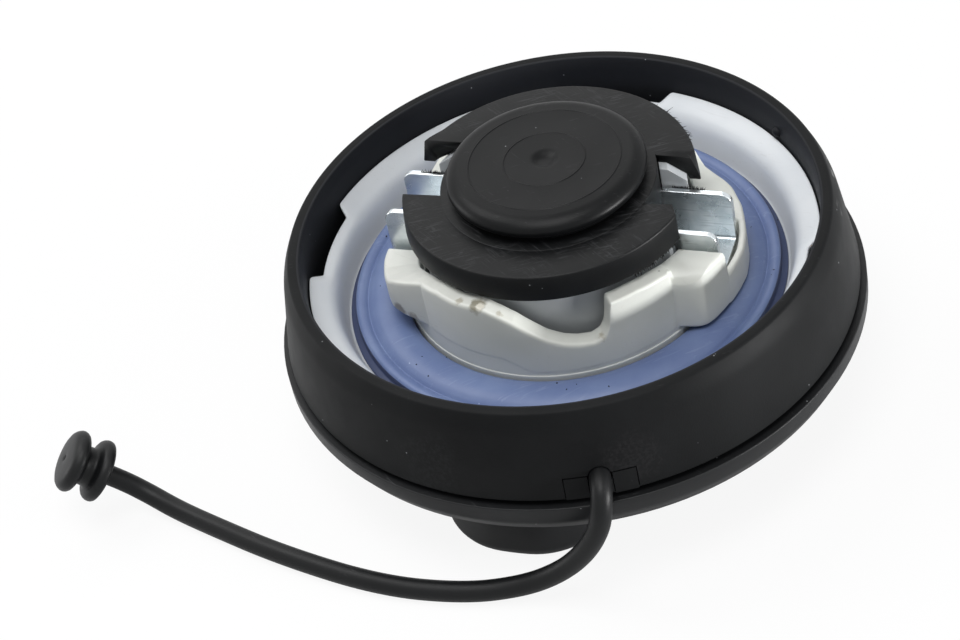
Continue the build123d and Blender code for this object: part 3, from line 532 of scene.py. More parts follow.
# Fluorosilicone, compression moulded: a silky blue that shows each speck.
blue_rubber, tree, place = start_material("blue_fluorosilicone")
tone = mottled(tree, place, size=6.0, detail=4.0, first="#61719a", second="#6f7fa4")
faint = scratches(tree, place, turn=40.0, length=6.0, width=0.5, share=0.12)
tone = stained(tree, tone, faint, "#8b99b8", 0.3)
tone = stained(tree, tone, specks(tree, place, spacing=1.1, size=0.12, share=0.12), "#a9b4cc")
tone = stained(tree, tone, specks(tree, place, spacing=2.3, size=0.14, share=0.08), "#2c3246")
# painted shade: past this radius the seal is coloured dark navy, for its outer side in shadow
inputs = {0: from_axis(tree, place), 1: SEAL_PAINTED_SHADE_FROM * MM}
top = add(tree, "ShaderNodeMath", inputs, operation="LESS_THAN").outputs[0]
inputs = {"Factor": top, 6: colour("#363f5c"), 7: tone}
tone = add(tree, "ShaderNodeMix", inputs, data_type="RGBA").outputs[2]
end_material(tree, Base_Color=tone, Roughness=0.4, Normal=grained(tree, place, size=0.4, depth=0.012),
             IOR=1.42, Specular_IOR_Level=0.4)
print(blue_rubber.name + ":", len(tree.nodes), "nodes")

# %% [markdown]
# ## Zinc-plated steel and spring wire
# The lock bar is cut and folded from steel sheet, and then plated with zinc. The rolling leaves fine
# lines along the sheet, and the plating gives a cool, slightly cloudy shine. So the bar is metal,
# its roughness wanders, and long faint scratches run along X, the direction of the sheet. The
# springs are drawn wire, a plainer and darker metal.

# %% Zinc-plated steel and spring wire
# Cold-rolled sheet, plated: bright and cool, with cloudy patches and fine drawn lines.
plated_steel, tree, place = start_material("zinc_plated_steel")
tone = mottled(tree, place, size=2.4, detail=5.0, first="#c9d1d5", second="#e8ecee")
drawn = scratches(tree, place, turn=0.0, length=5.0, width=0.22, share=0.14, sway=0.1)
tone = stained(tree, tone, drawn, "#8f999e", 0.35)
tone = stained(tree, tone, specks(tree, place, spacing=1.4, size=0.14, share=0.08), "#4d5256")
end_material(tree, Base_Color=tone, Metallic=1.0,
             Roughness=uneven(tree, place, size=3.0, detail=4.0, low=0.2, high=0.36),
             Normal=grained(tree, place, size=0.3, depth=0.005, detail=3.0))

# Drawn stainless wire: an even grey shine.
spring_steel, tree, place = start_material("drawn_spring_wire")
tone = mottled(tree, place, size=1.0, detail=3.0, first="#8b9096", second="#a3a8ae")
end_material(tree, Base_Color=tone, Metallic=1.0, Roughness=0.3)
print("metals:", plated_steel.name, "and", spring_steel.name)

# %% [markdown]
# ## Finishes for the parts inside
# Ten parts of the model keep their own shape: the tether's anchor, the ratchet clutch, the barrel
# and the tank valve. Most of them hide inside the cap. They could be left plain, but they show when
# the cap is taken apart or seen through a gap, so each gets its real finish; the barrel's white is
# painted greyer, as painted shade.

# %% Finishes for the parts inside
FINISHES = {
    "tether_anchor": (anchor_plastic, "tether_plastic"),
    "ratchet_ring": (cover_plastic, "inner_plastic"),
    "pawl_ring": (white_plastic, "inner_plastic"),
    # the barrel's greyer white is painted shade
    "core_barrel": (barrel_plastic_painted_shade, "white_plastic"),
    "barrel_o_ring": (skirt_rubber, "skirt_rubber"),
    "pressure_plate": (plated_steel, "plated_steel"),
    "valve_seal": (skirt_rubber, "skirt_rubber"),
    "spring_retainer": (white_plastic, "white_plastic"),
    "vacuum_poppet": (white_plastic, "white_plastic"),
    "vacuum_clip": (plated_steel, "plated_steel"),
}
for node_name, (material, slot_name) in FINISHES.items():
    nodes[node_name].data.materials.clear()
    nodes[node_name].data.materials.append(material)
print(len(FINISHES), "parts of the model have their finish")

# %% [markdown]
# ## The moulded cover
# The cover and the grip bar are one moulding. Its shape in the model is right and only its edges are
# too sharp, since a mould always leaves them slightly round. It could be remade by hand, but a copy
# with a Bevel modifier does the same work, and a fine line of light then runs along each edge.

# %% Cover
def finish_piece(piece, body, slot, material, *replaced):
    """Give a piece its material, its body and the CAD nodes it stands for; slot is not used."""
    piece.data.materials.clear()
    piece.data.materials.append(material)
    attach(piece, body)
    if replaced:
        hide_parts(*replaced)


def softened(node_name, name, width, angle=35.0):
    """A copy of a CAD node with its sharp edges rounded by a Bevel modifier."""
    bm = bmesh.new()
    bm.from_mesh(nodes[node_name].data)
    bmesh.ops.remove_doubles(bm, verts=bm.verts, dist=2e-6)
    bmesh.ops.dissolve_limit(bm, angle_limit=math.radians(0.5), verts=bm.verts, edges=bm.edges)
    piece = link_mesh(name, bm)
    bevel = piece.modifiers.new("rounded_edges", "BEVEL")
    bevel.width = width * MM
    bevel.segments = 3
    bevel.limit_method = "ANGLE"
    bevel.angle_limit = math.radians(angle)
    evened = piece.modifiers.new("even_shading", "WEIGHTED_NORMAL")
    evened.keep_sharp = True
    return piece


COVER_EDGE = 0.18
cover = softened("grip_cover", "moulded_cover", COVER_EDGE)
finish_piece(cover, "cover", "cover_plastic", cover_plastic, "grip_cover")
print("cover:", len(cover.data.polygons), "faces before its edges are rounded")

# %% [markdown]
# ## Turned and swept pieces
# Most of the cap is round. Blender's Spin or Screw could turn a profile, but several rings here have
# tabs, gaps or ramps. So one helper sweeps a section that may differ at each angle, and a second one
# uses it for a plain turned ring. Corners are rounded in the outline itself, as a mould rounds them.

# %% Helpers for turned and swept pieces
TURN_STEPS = 240


def rounded(corners, radius, steps=3):
    """Round a closed outline: each corner (a, b) or (a, b, own radius) becomes a small arc."""
    points = []
    for index, corner in enumerate(corners):
        here = Vector(corner[:2])
        own = corner[2] if len(corner) > 2 else radius
        before = Vector(corners[index - 1][:2]) - here
        after = Vector(corners[(index + 1) % len(corners)][:2]) - here
        start = here + before.normalized() * min(own, 0.45 * before.length)
        stop = here + after.normalized() * min(own, 0.45 * after.length)
        for step in range(steps + 1):
            t = step / steps
            points.append(start * (1 - t) ** 2 + here * 2 * t * (1 - t) + stop * t ** 2)
    return [tuple(point) for point in points]


def polar(radius, angle, height):
    """A point in metres from millimetres and degrees."""
    turn = math.radians(angle)
    return (radius * MM * math.cos(turn), radius * MM * math.sin(turn), height * MM)


def swept(name, angles, section, closed=True):
    """Sweep section(angle), a loop of (radius, angle, height), over a list of angles."""
    bm = bmesh.new()
    rows = [[bm.verts.new(polar(*point)) for point in section(angle)] for angle in angles]
    pairs = list(zip(rows, rows[1:]))
    if closed:
        pairs.append((rows[-1], rows[0]))
    for row, following in pairs:
        for index in range(len(row)):
            after = (index + 1) % len(row)
            bm.faces.new([row[index], row[after], following[after], following[index]])
    if not closed:
        bm.faces.new(rows[0])
        bm.faces.new(list(reversed(rows[-1])))
    bmesh.ops.dissolve_degenerate(bm, edges=bm.edges, dist=1e-7)
    return link_mesh(name, bm)


def turned(name, corners, radius=0.3):
    """Turn a rounded outline that doesn't touch the axis, all the way round."""
    outline = rounded(corners, radius)
    angles = [360 * step / TURN_STEPS for step in range(TURN_STEPS)]
    return swept(name, angles, lambda angle: [(r, angle, z) for r, z in outline])


print("a turned ring has", TURN_STEPS, "steps, one for each", 360 / TURN_STEPS, "degrees")

# %% [markdown]
# ## The rubber skirt
# The skirt is a round rubber wall with a flat bevelled lip, and it is pressed into the cover. A
# Screw modifier could turn its outline. The helper turns it too, and keeps the radius of each corner
# in the same list as its place.

# %% Skirt: the turned wall
SKIRT_INNER = 36.9
skirt = turned("rubber_skirt", [
    (SKIRT_INNER, 13.8), (40.1, 13.8), (40.1, 16.8), (41.7, 16.8, 0.35), (39.85, 28.0, 0.9),
    (38.76, 30.4, 0.4), (37.15, 30.4, 0.25), (SKIRT_INNER, 28.5, 0.6),
])
print("skirt:", len(skirt.data.polygons), "faces")

# %% [markdown]
# ## Windows in the skirt
# Two hooks of the tether's anchor show in small windows beside the tether. The windows, the pocket
# behind them and the tether's hole are cut with Boolean modifiers, just as a tool would cut them.
# Building them into the swept mesh would be cleaner but takes far more code. After the cut, edges
# above 30 degrees are marked sharp, so that the wall round the windows stays evenly shaded.

# %% Skirt: cutting tools
def cutter_block(bm, angle, near, far, width, low, high):
    """Add a box that lies along a radius: from near to far, so wide, from low to high."""
    size = Matrix.Diagonal(((far - near) * MM, width * MM, (high - low) * MM, 1.0))
    place = Matrix.Translation(((near + far) / 2 * MM, 0, (low + high) / 2 * MM))
    turn = Matrix.Rotation(math.radians(angle), 4, "Z")
    bmesh.ops.create_cube(bm, size=1.0, matrix=turn @ place @ size)


def cut_away(piece, cutters):
    """Cut a piece with closed meshes, one after the other, and keep the plain result."""
    for index, cutter in enumerate(cutters):
        cut = piece.modifiers.new(f"cut_{index}", "BOOLEAN")
        cut.operation = "DIFFERENCE"
        cut.solver = "EXACT"
        cut.object = cutter
    graph = bpy.context.evaluated_depsgraph_get()
    result = bpy.data.meshes.new_from_object(piece.evaluated_get(graph))
    piece.modifiers.clear()
    piece.data = result
    for cutter in cutters:
        bpy.data.objects.remove(cutter)


TETHER_ANGLE = math.degrees(math.atan2(TETHER_POINTS[0][1], TETHER_POINTS[0][0]))
print("the tether leaves the skirt at", round(TETHER_ANGLE, 1), "degrees")

# %% Skirt: windows and the tether's hole
# WINDOW_OFF and SHARP_FROM are degrees, and the rest is in mm
WINDOW_OFF = 4.6
WINDOW_WIDTH = 3.45
WINDOW_NEAR, WINDOW_FAR = 38.0, 44.0
WINDOW_LOW, WINDOW_HIGH = 17.1, 20.3
POCKET_NEAR, POCKET_FAR = 35.0, 39.95
POCKET_WIDTH = 14.3
POCKET_LOW, POCKET_HIGH = 16.85, 22.55
HOLE_RADIUS = 1.62
HOLE_MIDDLE, HOLE_LENGTH = 42.0, 12.0
SHARP_FROM = 30.0

cutters = []
for side in (-1, 1):
    bm = bmesh.new()
    cutter_block(bm, TETHER_ANGLE + side * WINDOW_OFF, WINDOW_NEAR, WINDOW_FAR, WINDOW_WIDTH,
                 WINDOW_LOW, WINDOW_HIGH)
    cutters.append(link_mesh("window_cutter", bm))
bm = bmesh.new()
cutter_block(bm, TETHER_ANGLE, POCKET_NEAR, POCKET_FAR, POCKET_WIDTH, POCKET_LOW, POCKET_HIGH)
cutters.append(link_mesh("pocket_cutter", bm))
bm = bmesh.new()
turn = Matrix.Rotation(math.radians(TETHER_ANGLE), 4, "Z")
along = turn @ Matrix.Translation((HOLE_MIDDLE * MM, 0, TETHER_POINTS[0][2] * MM))
bmesh.ops.create_cone(bm, cap_ends=True, segments=32, radius1=HOLE_RADIUS * MM, radius2=HOLE_RADIUS * MM,
                      depth=HOLE_LENGTH * MM, matrix=along @ Matrix.Rotation(math.radians(90), 4, "Y"))
cutters.append(link_mesh("hole_cutter", bm))
cut_away(skirt, cutters)
skirt.data.set_sharp_from_angle(angle=math.radians(SHARP_FROM))
finish_piece(skirt, "cover", "skirt_rubber", skirt_rubber, "skirt_ring")
print("skirt:", len(skirt.data.polygons), "faces after its windows are cut")

# %% [markdown]
# ## The nubs
# Two small round nubs stand inside the skirt, opposite each other over tabs of the carrier, and keep
# the carrier from lifting. They could be modelled one by one. A Geometry Nodes tree places copies of
# one ball on an arc instead, so their count, size and ring are named inputs. Three helpers open a
# tree, close it, and run it on a base mesh; the result becomes a plain mesh.

# %% Geometry Nodes helpers
def node_group(name, sizes):
    """A Geometry Nodes tree with a geometry input and output, and one named input for each size."""
    tree = bpy.data.node_groups.new(name, "GeometryNodeTree")
    tree.interface.new_socket("Geometry", in_out="INPUT", socket_type="NodeSocketGeometry")
    tree.interface.new_socket("Geometry", in_out="OUTPUT", socket_type="NodeSocketGeometry")
    for label, kind in sizes.items():
        tree.interface.new_socket(label, in_out="INPUT", socket_type="NodeSocket" + kind)
    tree.interface.new_socket("Finish", in_out="INPUT", socket_type="NodeSocketMaterial")
    return tree, add(tree, "NodeGroupInput").outputs


def end_group(tree, sizes, geometry):
    """Close a tree: make copies real, give them their finish, and send them out."""
    real = add(tree, "GeometryNodeRealizeInstances", {"Geometry": geometry})
    painted = add(tree, "GeometryNodeSetMaterial", {
        "Geometry": real.outputs[0], "Material": sizes["Finish"]})
    add(tree, "NodeGroupOutput", {"Geometry": painted.outputs[0]})


def grow(name, tree, values, base=None):
    """Run a tree on a base mesh and keep what it makes as a plain mesh."""
    piece = bpy.data.objects.new(name, base or bpy.data.meshes.new(name))
    bpy.context.scene.collection.objects.link(piece)
    grower = piece.modifiers.new("grow", "NODES")
    grower.node_group = tree
    for item in tree.interface.items_tree:
        if item.in_out == "INPUT" and item.name in values:
            grower[item.identifier] = values[item.name]
    graph = bpy.context.evaluated_depsgraph_get()
    result = bpy.data.meshes.new_from_object(piece.evaluated_get(graph))
    piece.modifiers.clear()
    piece.data = result
    piece.data.name = name
    print(name + ":", len(result.polygons), "faces")
    return piece


print("helpers for trees: node_group, end_group and grow")

# %% Nubs
# sizes in mm, then the arc's start and reach in degrees
NUB_COUNT = 2
NUB_RADIUS, NUB_RING, NUB_HEIGHT = 0.8, 37.0, 26.5
NUB_FIRST, NUB_SWEEP = 46.3, 180.0

nub_tree, size = node_group("nubs_on_an_arc", {
    "Count": "Int", "Ring radius": "Float", "Nub radius": "Float", "First": "Float", "Sweep": "Float",
    "Place": "Vector"})
arc = add(nub_tree, "GeometryNodeCurveArc", {
    "Resolution": size["Count"], "Radius": size["Ring radius"], "Start Angle": size["First"],
    "Sweep Angle": size["Sweep"]})
placed = add(nub_tree, "GeometryNodeTransform", {"Geometry": arc.outputs[0], "Translation": size["Place"]})
spots = add(nub_tree, "GeometryNodeCurveToPoints", {"Curve": placed.outputs[0], "Count": size["Count"]})
ball = add(nub_tree, "GeometryNodeMeshUVSphere", {
    "Segments": 20, "Rings": 12, "Radius": size["Nub radius"]})
copies = add(nub_tree, "GeometryNodeInstanceOnPoints", {
    "Points": spots.outputs[0], "Instance": ball.outputs[0]})
end_group(nub_tree, size, copies.outputs[0])
nubs = grow("skirt_nubs", nub_tree, {
    "Count": NUB_COUNT, "Ring radius": NUB_RING * MM, "Nub radius": NUB_RADIUS * MM,
    "First": math.radians(NUB_FIRST), "Sweep": math.radians(NUB_SWEEP), "Place": (0, 0, NUB_HEIGHT * MM),
    "Finish": skirt_rubber})
nubs.data.shade_smooth()
finish_piece(nubs, "cover", "skirt_rubber", skirt_rubber)

# %% [markdown]
# ## The seal carrier
# The carrier is a dish of unpigmented acetal that holds the seal. Its trough flares into a rim that
# is broken into four tabs, which snap under the skirt. A Boolean could cut the gaps from a full rim,
# but would leave them with sharp edges. The sweep lets the rim's height and reach depend on the
# angle, so the tabs grow softly out of the dish.

# %% Carrier
# radius and height of the rim in a tab and in a gap, in mm
TAB_RIM = (36.7, 25.3)
GAP_RIM = (35.05, 24.2)

# middle and half width of each gap, the width of a tab's rounded edge, and the step, in degrees
TAB_GAPS = [(-2.5, 11.6), (93.5, 13.5), (184.1, 11.6), (273.5, 13.5)]
TAB_EDGE = 3.0
CARRIER_STEP = 0.4


def tab_share(angle):
    """1 in a tab, 0 in a gap, with a short rounded edge between them."""
    off = min(abs((angle - middle + 180) % 360 - 180) - half for middle, half in TAB_GAPS)
    t = min(max(off / TAB_EDGE + 0.5, 0), 1)
    return t * t * (3 - 2 * t)


def carrier_section(angle):
    """The dish's wall at one angle."""
    share = tab_share(angle)
    rim_r = GAP_RIM[0] + (TAB_RIM[0] - GAP_RIM[0]) * share
    rim_z = GAP_RIM[1] + (TAB_RIM[1] - GAP_RIM[1]) * share
    corners = [
        (19.3, 17.3), (32.6, 17.3, 0.8), (33.7, 18.6, 1.0), (34.5, 22.4, 0.9), (rim_r, rim_z - 0.8, 0.35),
        (rim_r, rim_z, 0.3), (33.3, 23.75, 1.5), (32.4, 20.4, 1.0), (31.9, 19.0, 0.5), (19.3, 19.0, 0.1),
    ]
    return [(r, angle, z) for r, z in rounded(corners, 0.3, 5)]


carrier_angles = [CARRIER_STEP * step for step in range(round(360 / CARRIER_STEP))]
carrier = swept("seal_carrier", carrier_angles, carrier_section)
finish_piece(carrier, "inner_unit", "white_plastic", white_plastic, "inner_dish")
print("carrier:", len(carrier.data.polygons), "faces")

# %% [markdown]
# ## The blue seal
# The seal is a flat ring of fluorosilicone, pressed between cap and neck. A flattened torus would do
# from far away, but not close up. Its outer lip, its groove and its rounded inner ridge are the same
# all the way round, so one turned outline makes them all.

# %% Seal
seal = turned("blue_seal", [
    (23.15, 21.2, 0.3), (23.15, 19.0, 0.05), (31.7, 19.0, 0.05), (31.7, 19.5, 0.15), (30.8, 19.8, 0.2),
    (30.75, 21.0, 0.3), (30.1, 21.35, 0.5), (29.3, 21.05, 0.3), (28.95, 20.7, 0.15), (28.6, 21.1, 0.3),
    (27.6, 21.75, 1.2), (26.0, 22.0, 1.4), (24.4, 21.8, 0.8),
], 0.3)
finish_piece(seal, "inner_unit", "blue_rubber", blue_rubber, "seal_ring")
print("seal:", len(seal.data.polygons), "faces")

# %% [markdown]
# ## The cam sleeve
# The ivory cam sleeve takes the most skill. Its rim falls along two long ramps, ends each of them in
# a steep stop, and carries a tall block round each end of the lock bar. Sculpting would lose the
# round wall. The sweep reads the rim's height, the wall's outer reach, the underside and the edge
# radius from tables of angle and millimetres, so each form can be changed on its own.

# %% Cam sleeve: tables of angle and size
CAM_BORE = 20.2
CAM_RADIUS = 22.8

# angle, height of the rim
CAM_LAND = [
    (-180, 27.6), (-166, 27.6), (-155, 28.1), (-148, 29.2), (-141, 30.8), (-134, 31.9), (-128, 32.6),
    (-120, 33.2), (-112, 33.0), (-104, 33.3), (-99, 33.2), (-94, 32.5), (-89, 31.5), (-84, 30.1),
    (-78, 28.4), (-72, 27.3), (-67, 26.8), (-61.5, 26.6), (-58.0, 27.2), (-56.2, 28.2), (-55.2, 29.6),
    (-54.7, 31.0), (-54.4, 32.6), (-44, 32.8), (-34, 32.6), (-27, 32.2), (-20, 32.0), (-13.5, 31.7),
    (13.5, 27.8), (24, 27.9), (32, 29.2), (40, 31.0), (48, 32.4), (58, 32.9), (72, 33.3), (80, 33.3),
    (85, 33.0), (90, 32.2), (94, 31.0), (100, 29.2), (106, 27.8), (113, 26.8), (118.5, 26.6),
    (122, 27.2), (123.8, 28.2), (124.8, 29.6), (125.3, 31.0), (125.6, 32.6), (128.5, 32.7), (138, 32.4),
    (146, 30.5), (154, 28.2), (180, 27.8),
]

# angle, outer radius of the wall
CAM_REACH = [
    (-180, 24.4), (-169, 24.4), (-165.5, 24.95), (-160, 25.3), (-150, 25.5), (-145, 25.5),
    (-142.5, 25.2), (-139.1, 24.65), (-136, 24.0), (-132.7, 23.35), (-130.3, 22.85), (-129.3, 22.6),
    (-128.4, CAM_RADIUS), (-30.4, CAM_RADIUS), (-29.8, 22.65), (-29.1, 23.35), (-28.0, 24.35),
    (-27.0, 25.15), (-26.0, 25.75), (-24.5, 26.2), (-22, 26.4), (-15, 26.6), (0, 26.9), (10, 26.6),
    (16, 26.3), (22, 26.1), (28, 25.5), (31, 24.8), (34, 23.8), (37, 23.0), (40, CAM_RADIUS),
    (137, CAM_RADIUS), (140, 23.4), (145, 25.0), (150, 25.5), (156, 25.5), (166, 24.9), (169, 24.4),
    (180, 24.4),
]

# angle, height of the block's underside
CAM_UNDER = [
    (-180, 23.5), (-168, 24.6), (-95, 24.6), (-85, 22.4), (-10, 22.4), (10, 24.6), (85, 24.6),
    (95, 22.4), (168, 22.4), (180, 23.5),
]

# angle, rounding of the rim's outer edge
CAM_EDGE = [
    (-57, 0.85), (-55.6, 0.4), (-32, 0.5), (-20, 0.85), (122.5, 0.85), (124, 0.4), (148, 0.5),
    (160, 0.85),
]


def table(pairs, angle):
    """Read a value from (angle, value) pairs, with straight lines between them."""
    for (low, first), (high, second) in zip(pairs, pairs[1:]):
        if low <= angle <= high:
            return first + (second - first) * (angle - low) / (high - low)
    return pairs[0][1] if angle < pairs[0][0] else pairs[-1][1]


def smooth_table(pairs, angle, spread):
    """A table value averaged over a few neighbouring angles."""
    return sum(table(pairs, angle + spread * k / 2) for k in (-2, -1, 0, 1, 2)) / 5


heights = [z for _, z in CAM_LAND]
print("the rim runs from", min(heights), "to", max(heights), "mm above the bench")

# %% [markdown]
# ## The slot through the cam sleeve
# The lock bar lies in a slot across the sleeve, and its right end sits in a pocket. The slot's sides
# must be parallel, while a sweep gives sides that point to the axis, so the angles near the slot are
# shifted until the sides run along the bar. One block's top rolls down towards its front face.

# %% Cam sleeve: slot and rolled block
# the tall block: its top, the radius of its roll and where the roll starts in Y, all in mm, then the
# angle of the groove beside it and over how many degrees the roll fades out there
BLOCK_TOP = 32.0
ROLL_RADIUS = 2.7
ROLL_START = -8.8
ROLL_GROOVE = -30.0
ROLL_FADE = 0.6

# the slot: half its width, its floor and the underside below it in mm, then the angle of its side in
# the tables, how far round the shift reaches, and the width of its rounded edge
SLOT_HALF = 5.6
SLOT_FLOOR = 22.8
SLOT_UNDER = 22.1
SLOT_NOMINAL = 14.3
SLOT_BLEND = 35.0
SLOT_EDGE = 0.6


def slot_angle(angle, radius):
    """Shift an angle so that the slot's sides run parallel to the lock bar."""
    middle = 0.0 if abs(angle) < 90 else math.copysign(180.0, angle)
    off = abs(angle - middle)
    if off >= SLOT_BLEND:
        return angle
    edge = math.degrees(math.asin(SLOT_HALF / radius))
    if off <= SLOT_NOMINAL:
        off = off * edge / SLOT_NOMINAL
    else:
        off = edge + (off - SLOT_NOMINAL) * (SLOT_BLEND - edge) / (SLOT_BLEND - SLOT_NOMINAL)
    return middle + math.copysign(off, angle - middle)


def in_slot(angle):
    """1 inside the lock bar's slot, 0 outside, with a short rounded edge."""
    off = min(abs(angle), 180 - abs(angle))
    t = min(max((SLOT_NOMINAL - off) / SLOT_EDGE + 0.5, 0), 1)
    return t * t * (3 - 2 * t)


def rolled_over(radius, angle, height):
    """The tall block's top rolls down towards its front face, outside the wall's own land."""
    if not ROLL_GROOVE - ROLL_FADE < angle < 0 or radius < CAM_RADIUS - 0.25:
        return height
    beyond = min(max(ROLL_START - radius * math.sin(math.radians(angle)), 0), ROLL_RADIUS)
    allowed = BLOCK_TOP - ROLL_RADIUS + math.sqrt(ROLL_RADIUS ** 2 - beyond ** 2)
    blend = min(max((angle - ROLL_GROOVE + ROLL_FADE / 2) / ROLL_FADE, 0), 1)
    return height - max(height - allowed, 0) * blend


print("the slot is", 2 * SLOT_HALF, "mm wide and its floor lies at", SLOT_FLOOR, "mm")

# %% Cam sleeve: section and sweep
# walls of the pocket and of the rim, and the height of the pocket's wall, in mm; step in degrees
POCKET_WALL = 1.0
LAND_WALL = 0.9
POCKET_RIM = 27.6
CAM_STEP = 0.3


def cam_section(angle):
    """The sleeve's wall at one angle, as a loop of (radius, angle, height)."""
    slot = in_slot(angle)
    top = smooth_table(CAM_LAND, angle, 0.5)
    reach = smooth_table(CAM_REACH, angle, 0.6)
    wall_top = POCKET_RIM if abs(angle) < 90 else SLOT_FLOOR
    inner_top = top + (SLOT_FLOOR - top) * slot
    rim = top + (wall_top - top) * slot
    pocket = reach - LAND_WALL - (POCKET_WALL - LAND_WALL) * slot
    under = table(CAM_UNDER, angle)
    under += (SLOT_UNDER - under) * slot
    wall = CAM_RADIUS - 0.05
    corners = [
        (20.8, 19.0, 0.05), (22.88, 19.0, 0.05), (22.88, 21.7, 0.08), (wall, 21.8, 0.05),
        (wall, under, 0.2), (reach, under + 0.05, 0.7), (reach, rim, table(CAM_EDGE, angle)),
        (pocket - 0.2 * (1 - slot), rim, 0.35), (pocket - 0.3 + 0.28 * slot, inner_top, 0.3),
        (CAM_BORE, inner_top, 0.35), (CAM_BORE, 21.2, 0.3), (20.8, 20.8, 0.2),
    ]
    loop = []
    for r, z in rounded(corners, 0.3, 5):
        turn = slot_angle(angle, r)
        loop.append((r, turn, rolled_over(r, turn, z)))
    return loop


cam_angles = [-180 + CAM_STEP * step for step in range(round(360 / CAM_STEP))]
cam = swept("cam_sleeve_moulding", cam_angles, cam_section)
finish_piece(cam, "inner_unit", "ivory_plastic", ivory_plastic, "cam_sleeve")
print("cam sleeve:", len(cam.data.polygons), "faces")

# %% [markdown]
# ## The bayonet head
# Two half-moon flanges turn behind the lugs of the filler neck and hold the cap down. Each is a thick
# rim with a web that slopes up to the hub. One end of each is cut off flat. A half disc with a
# straight edge could be cut by a Boolean, but a sweep between the edge's two ends gives rounded
# corners all along.

# %% Half-moons
HEAD_RADIUS = 20.7
HEAD_TOP = 38.0
HEAD_BOTTOM = 34.0
WEB_START = 14.6
MOON_STEPS = 220

# the far moon's left end swells: from which share of the sweep, by which part of the radius at its
# top, and by how much more for each mm below it
SWELL_FROM, SWELL_SPAN = 0.93, 0.07
SWELL_TOP, SWELL_BELOW = 0.037, 0.007

# the right ends are cut off flat: distance from the axis in mm, and lean of the cut
FAR_CUT, FAR_LEAN = 18.9, 0.35
NEAR_CUT, NEAR_LEAN, NEAR_CORNER = 18.6, 0.62, -3.6


def end_angle(radius, offset, slope, side):
    """Angle at which a circle meets the straight edge y = offset + slope * x."""
    angle = 0.0 if side > 0 else 180.0
    # the slope is small, so four rounds settle the angle
    for _ in range(4):
        x = radius * math.cos(math.radians(angle))
        share = (offset + slope * x) / radius
        angle = math.degrees(math.asin(share))
        if side < 0:
            angle = 180 - angle
    return angle


def moon_point(radius, height, share, edge, far):
    """A point of the outline, a share of the way from one end of the straight edge to the other."""
    right = end_angle(radius, *edge, 1)
    left = end_angle(radius, *edge, -1) - (0 if far else 360)
    angle = right + (left - right) * share
    if far:
        near_end = max(share - SWELL_FROM, 0) / SWELL_SPAN
        swell = SWELL_TOP + SWELL_BELOW * (HEAD_TOP - height)
        radius *= 1 + swell * near_end ** 2 * (3 - 2 * near_end)
    x = radius * math.cos(math.radians(angle))
    y = radius * math.sin(math.radians(angle))
    if far:
        cut = FAR_CUT + (HEAD_TOP - height) * FAR_LEAN
    else:
        cut = NEAR_CUT + max(NEAR_CORNER - y, 0) * NEAR_LEAN if x > 0 else radius
    return (radius * cut / x if x > cut else radius, angle, height)


def half_moon(name, edge, far):
    """One half-moon; its straight edge is y = offset + slope * x, given as (offset, slope)."""
    outline = rounded([
        (WEB_START, 36.8), (16.6, 36.7, 0.2), (19.2, 34.9, 0.3), (19.4, HEAD_BOTTOM, 0.2),
        (21.0, HEAD_BOTTOM, 0.25), (HEAD_RADIUS, HEAD_TOP, 0.3), (WEB_START, HEAD_TOP, 0.05),
    ], 0.25)
    shares = [step / MOON_STEPS for step in range(MOON_STEPS + 1)]
    return swept(name, shares, lambda share: [moon_point(r, z, share, edge, far) for r, z in outline],
                 closed=False)


upper_moon = half_moon("half_moon_far", (6.3, 0.01), True)
finish_piece(upper_moon, "inner_unit", "head_plastic", head_plastic, "bayonet_head")
near_moon = half_moon("half_moon_near", (-4.65, 0.04), False)
finish_piece(near_moon, "inner_unit", "head_plastic", head_plastic)
print("half-moons:", len(upper_moon.data.polygons), "and", len(near_moon.data.polygons), "faces")

# %% Hub
hub = turned("bayonet_hub", [
    (12.0, 26.0), (15.3, 26.0), (15.3, 38.02, 0.15), (8.0, 38.02), (8.0, 35.8), (12.0, 35.8),
], 0.15)
finish_piece(hub, "inner_unit", "head_plastic", head_plastic)
print("hub:", len(hub.data.polygons), "faces")

# %% [markdown]
# ## The dome
# The valve cap is a low dome that snaps into the hub. Two thin raised ring lines and a gate dimple
# show where the mould's parts met. Its outline reaches the axis, where a plain sweep would pile up
# points, so a second helper closes the two poles with fans of triangles.

# %% Dome
def knob(name, corners, radius, steps):
    """Turn an open outline whose first and last points lie on the axis."""
    # rounding makes four points of each corner; the two on the axis stay plain
    inner = rounded(corners, radius)[4:-4]
    outline = [tuple(corners[0][:2])] + inner + [tuple(corners[-1][:2])]
    bm = bmesh.new()
    poles = [bm.verts.new((0, 0, outline[0][1] * MM)), bm.verts.new((0, 0, outline[-1][1] * MM))]
    rows = []
    for step in range(steps):
        rows.append([bm.verts.new(polar(r, 360 * step / steps, z)) for r, z in outline[1:-1]])
    for index, row in enumerate(rows):
        following = rows[(index + 1) % steps]
        for a in range(len(row) - 1):
            bm.faces.new([row[a], row[a + 1], following[a + 1], following[a]])
        bm.faces.new([poles[0], row[0], following[0]])
        bm.faces.new([row[-1], poles[1], following[-1]])
    return link_mesh(name, bm)


dome = knob("valve_dome", [
    (0, 41.0), (0.9, 41.05, 0.4), (2.0, 41.5, 0.4),
    (5.6, 41.5, 0.03), (5.75, 41.6, 0.05), (5.9, 41.5, 0.03),
    (10.6, 41.5, 0.03), (10.75, 41.6, 0.05), (10.9, 41.5, 0.03), (12.6, 41.45, 1.2), (14.0, 40.6, 1.0),
    (14.2, 39.5, 0.5), (13.6, 38.9, 0.4), (12.9, 38.7, 0.3), (12.9, 38.0, 0.1), (7.9, 38.0, 0.1),
    (7.9, 34.6, 0.1), (0, 34.6),
], 0.3, 160)
finish_piece(dome, "inner_unit", "dome_plastic", dome_plastic, "valve_cap")
print("dome:", len(dome.data.polygons), "faces")

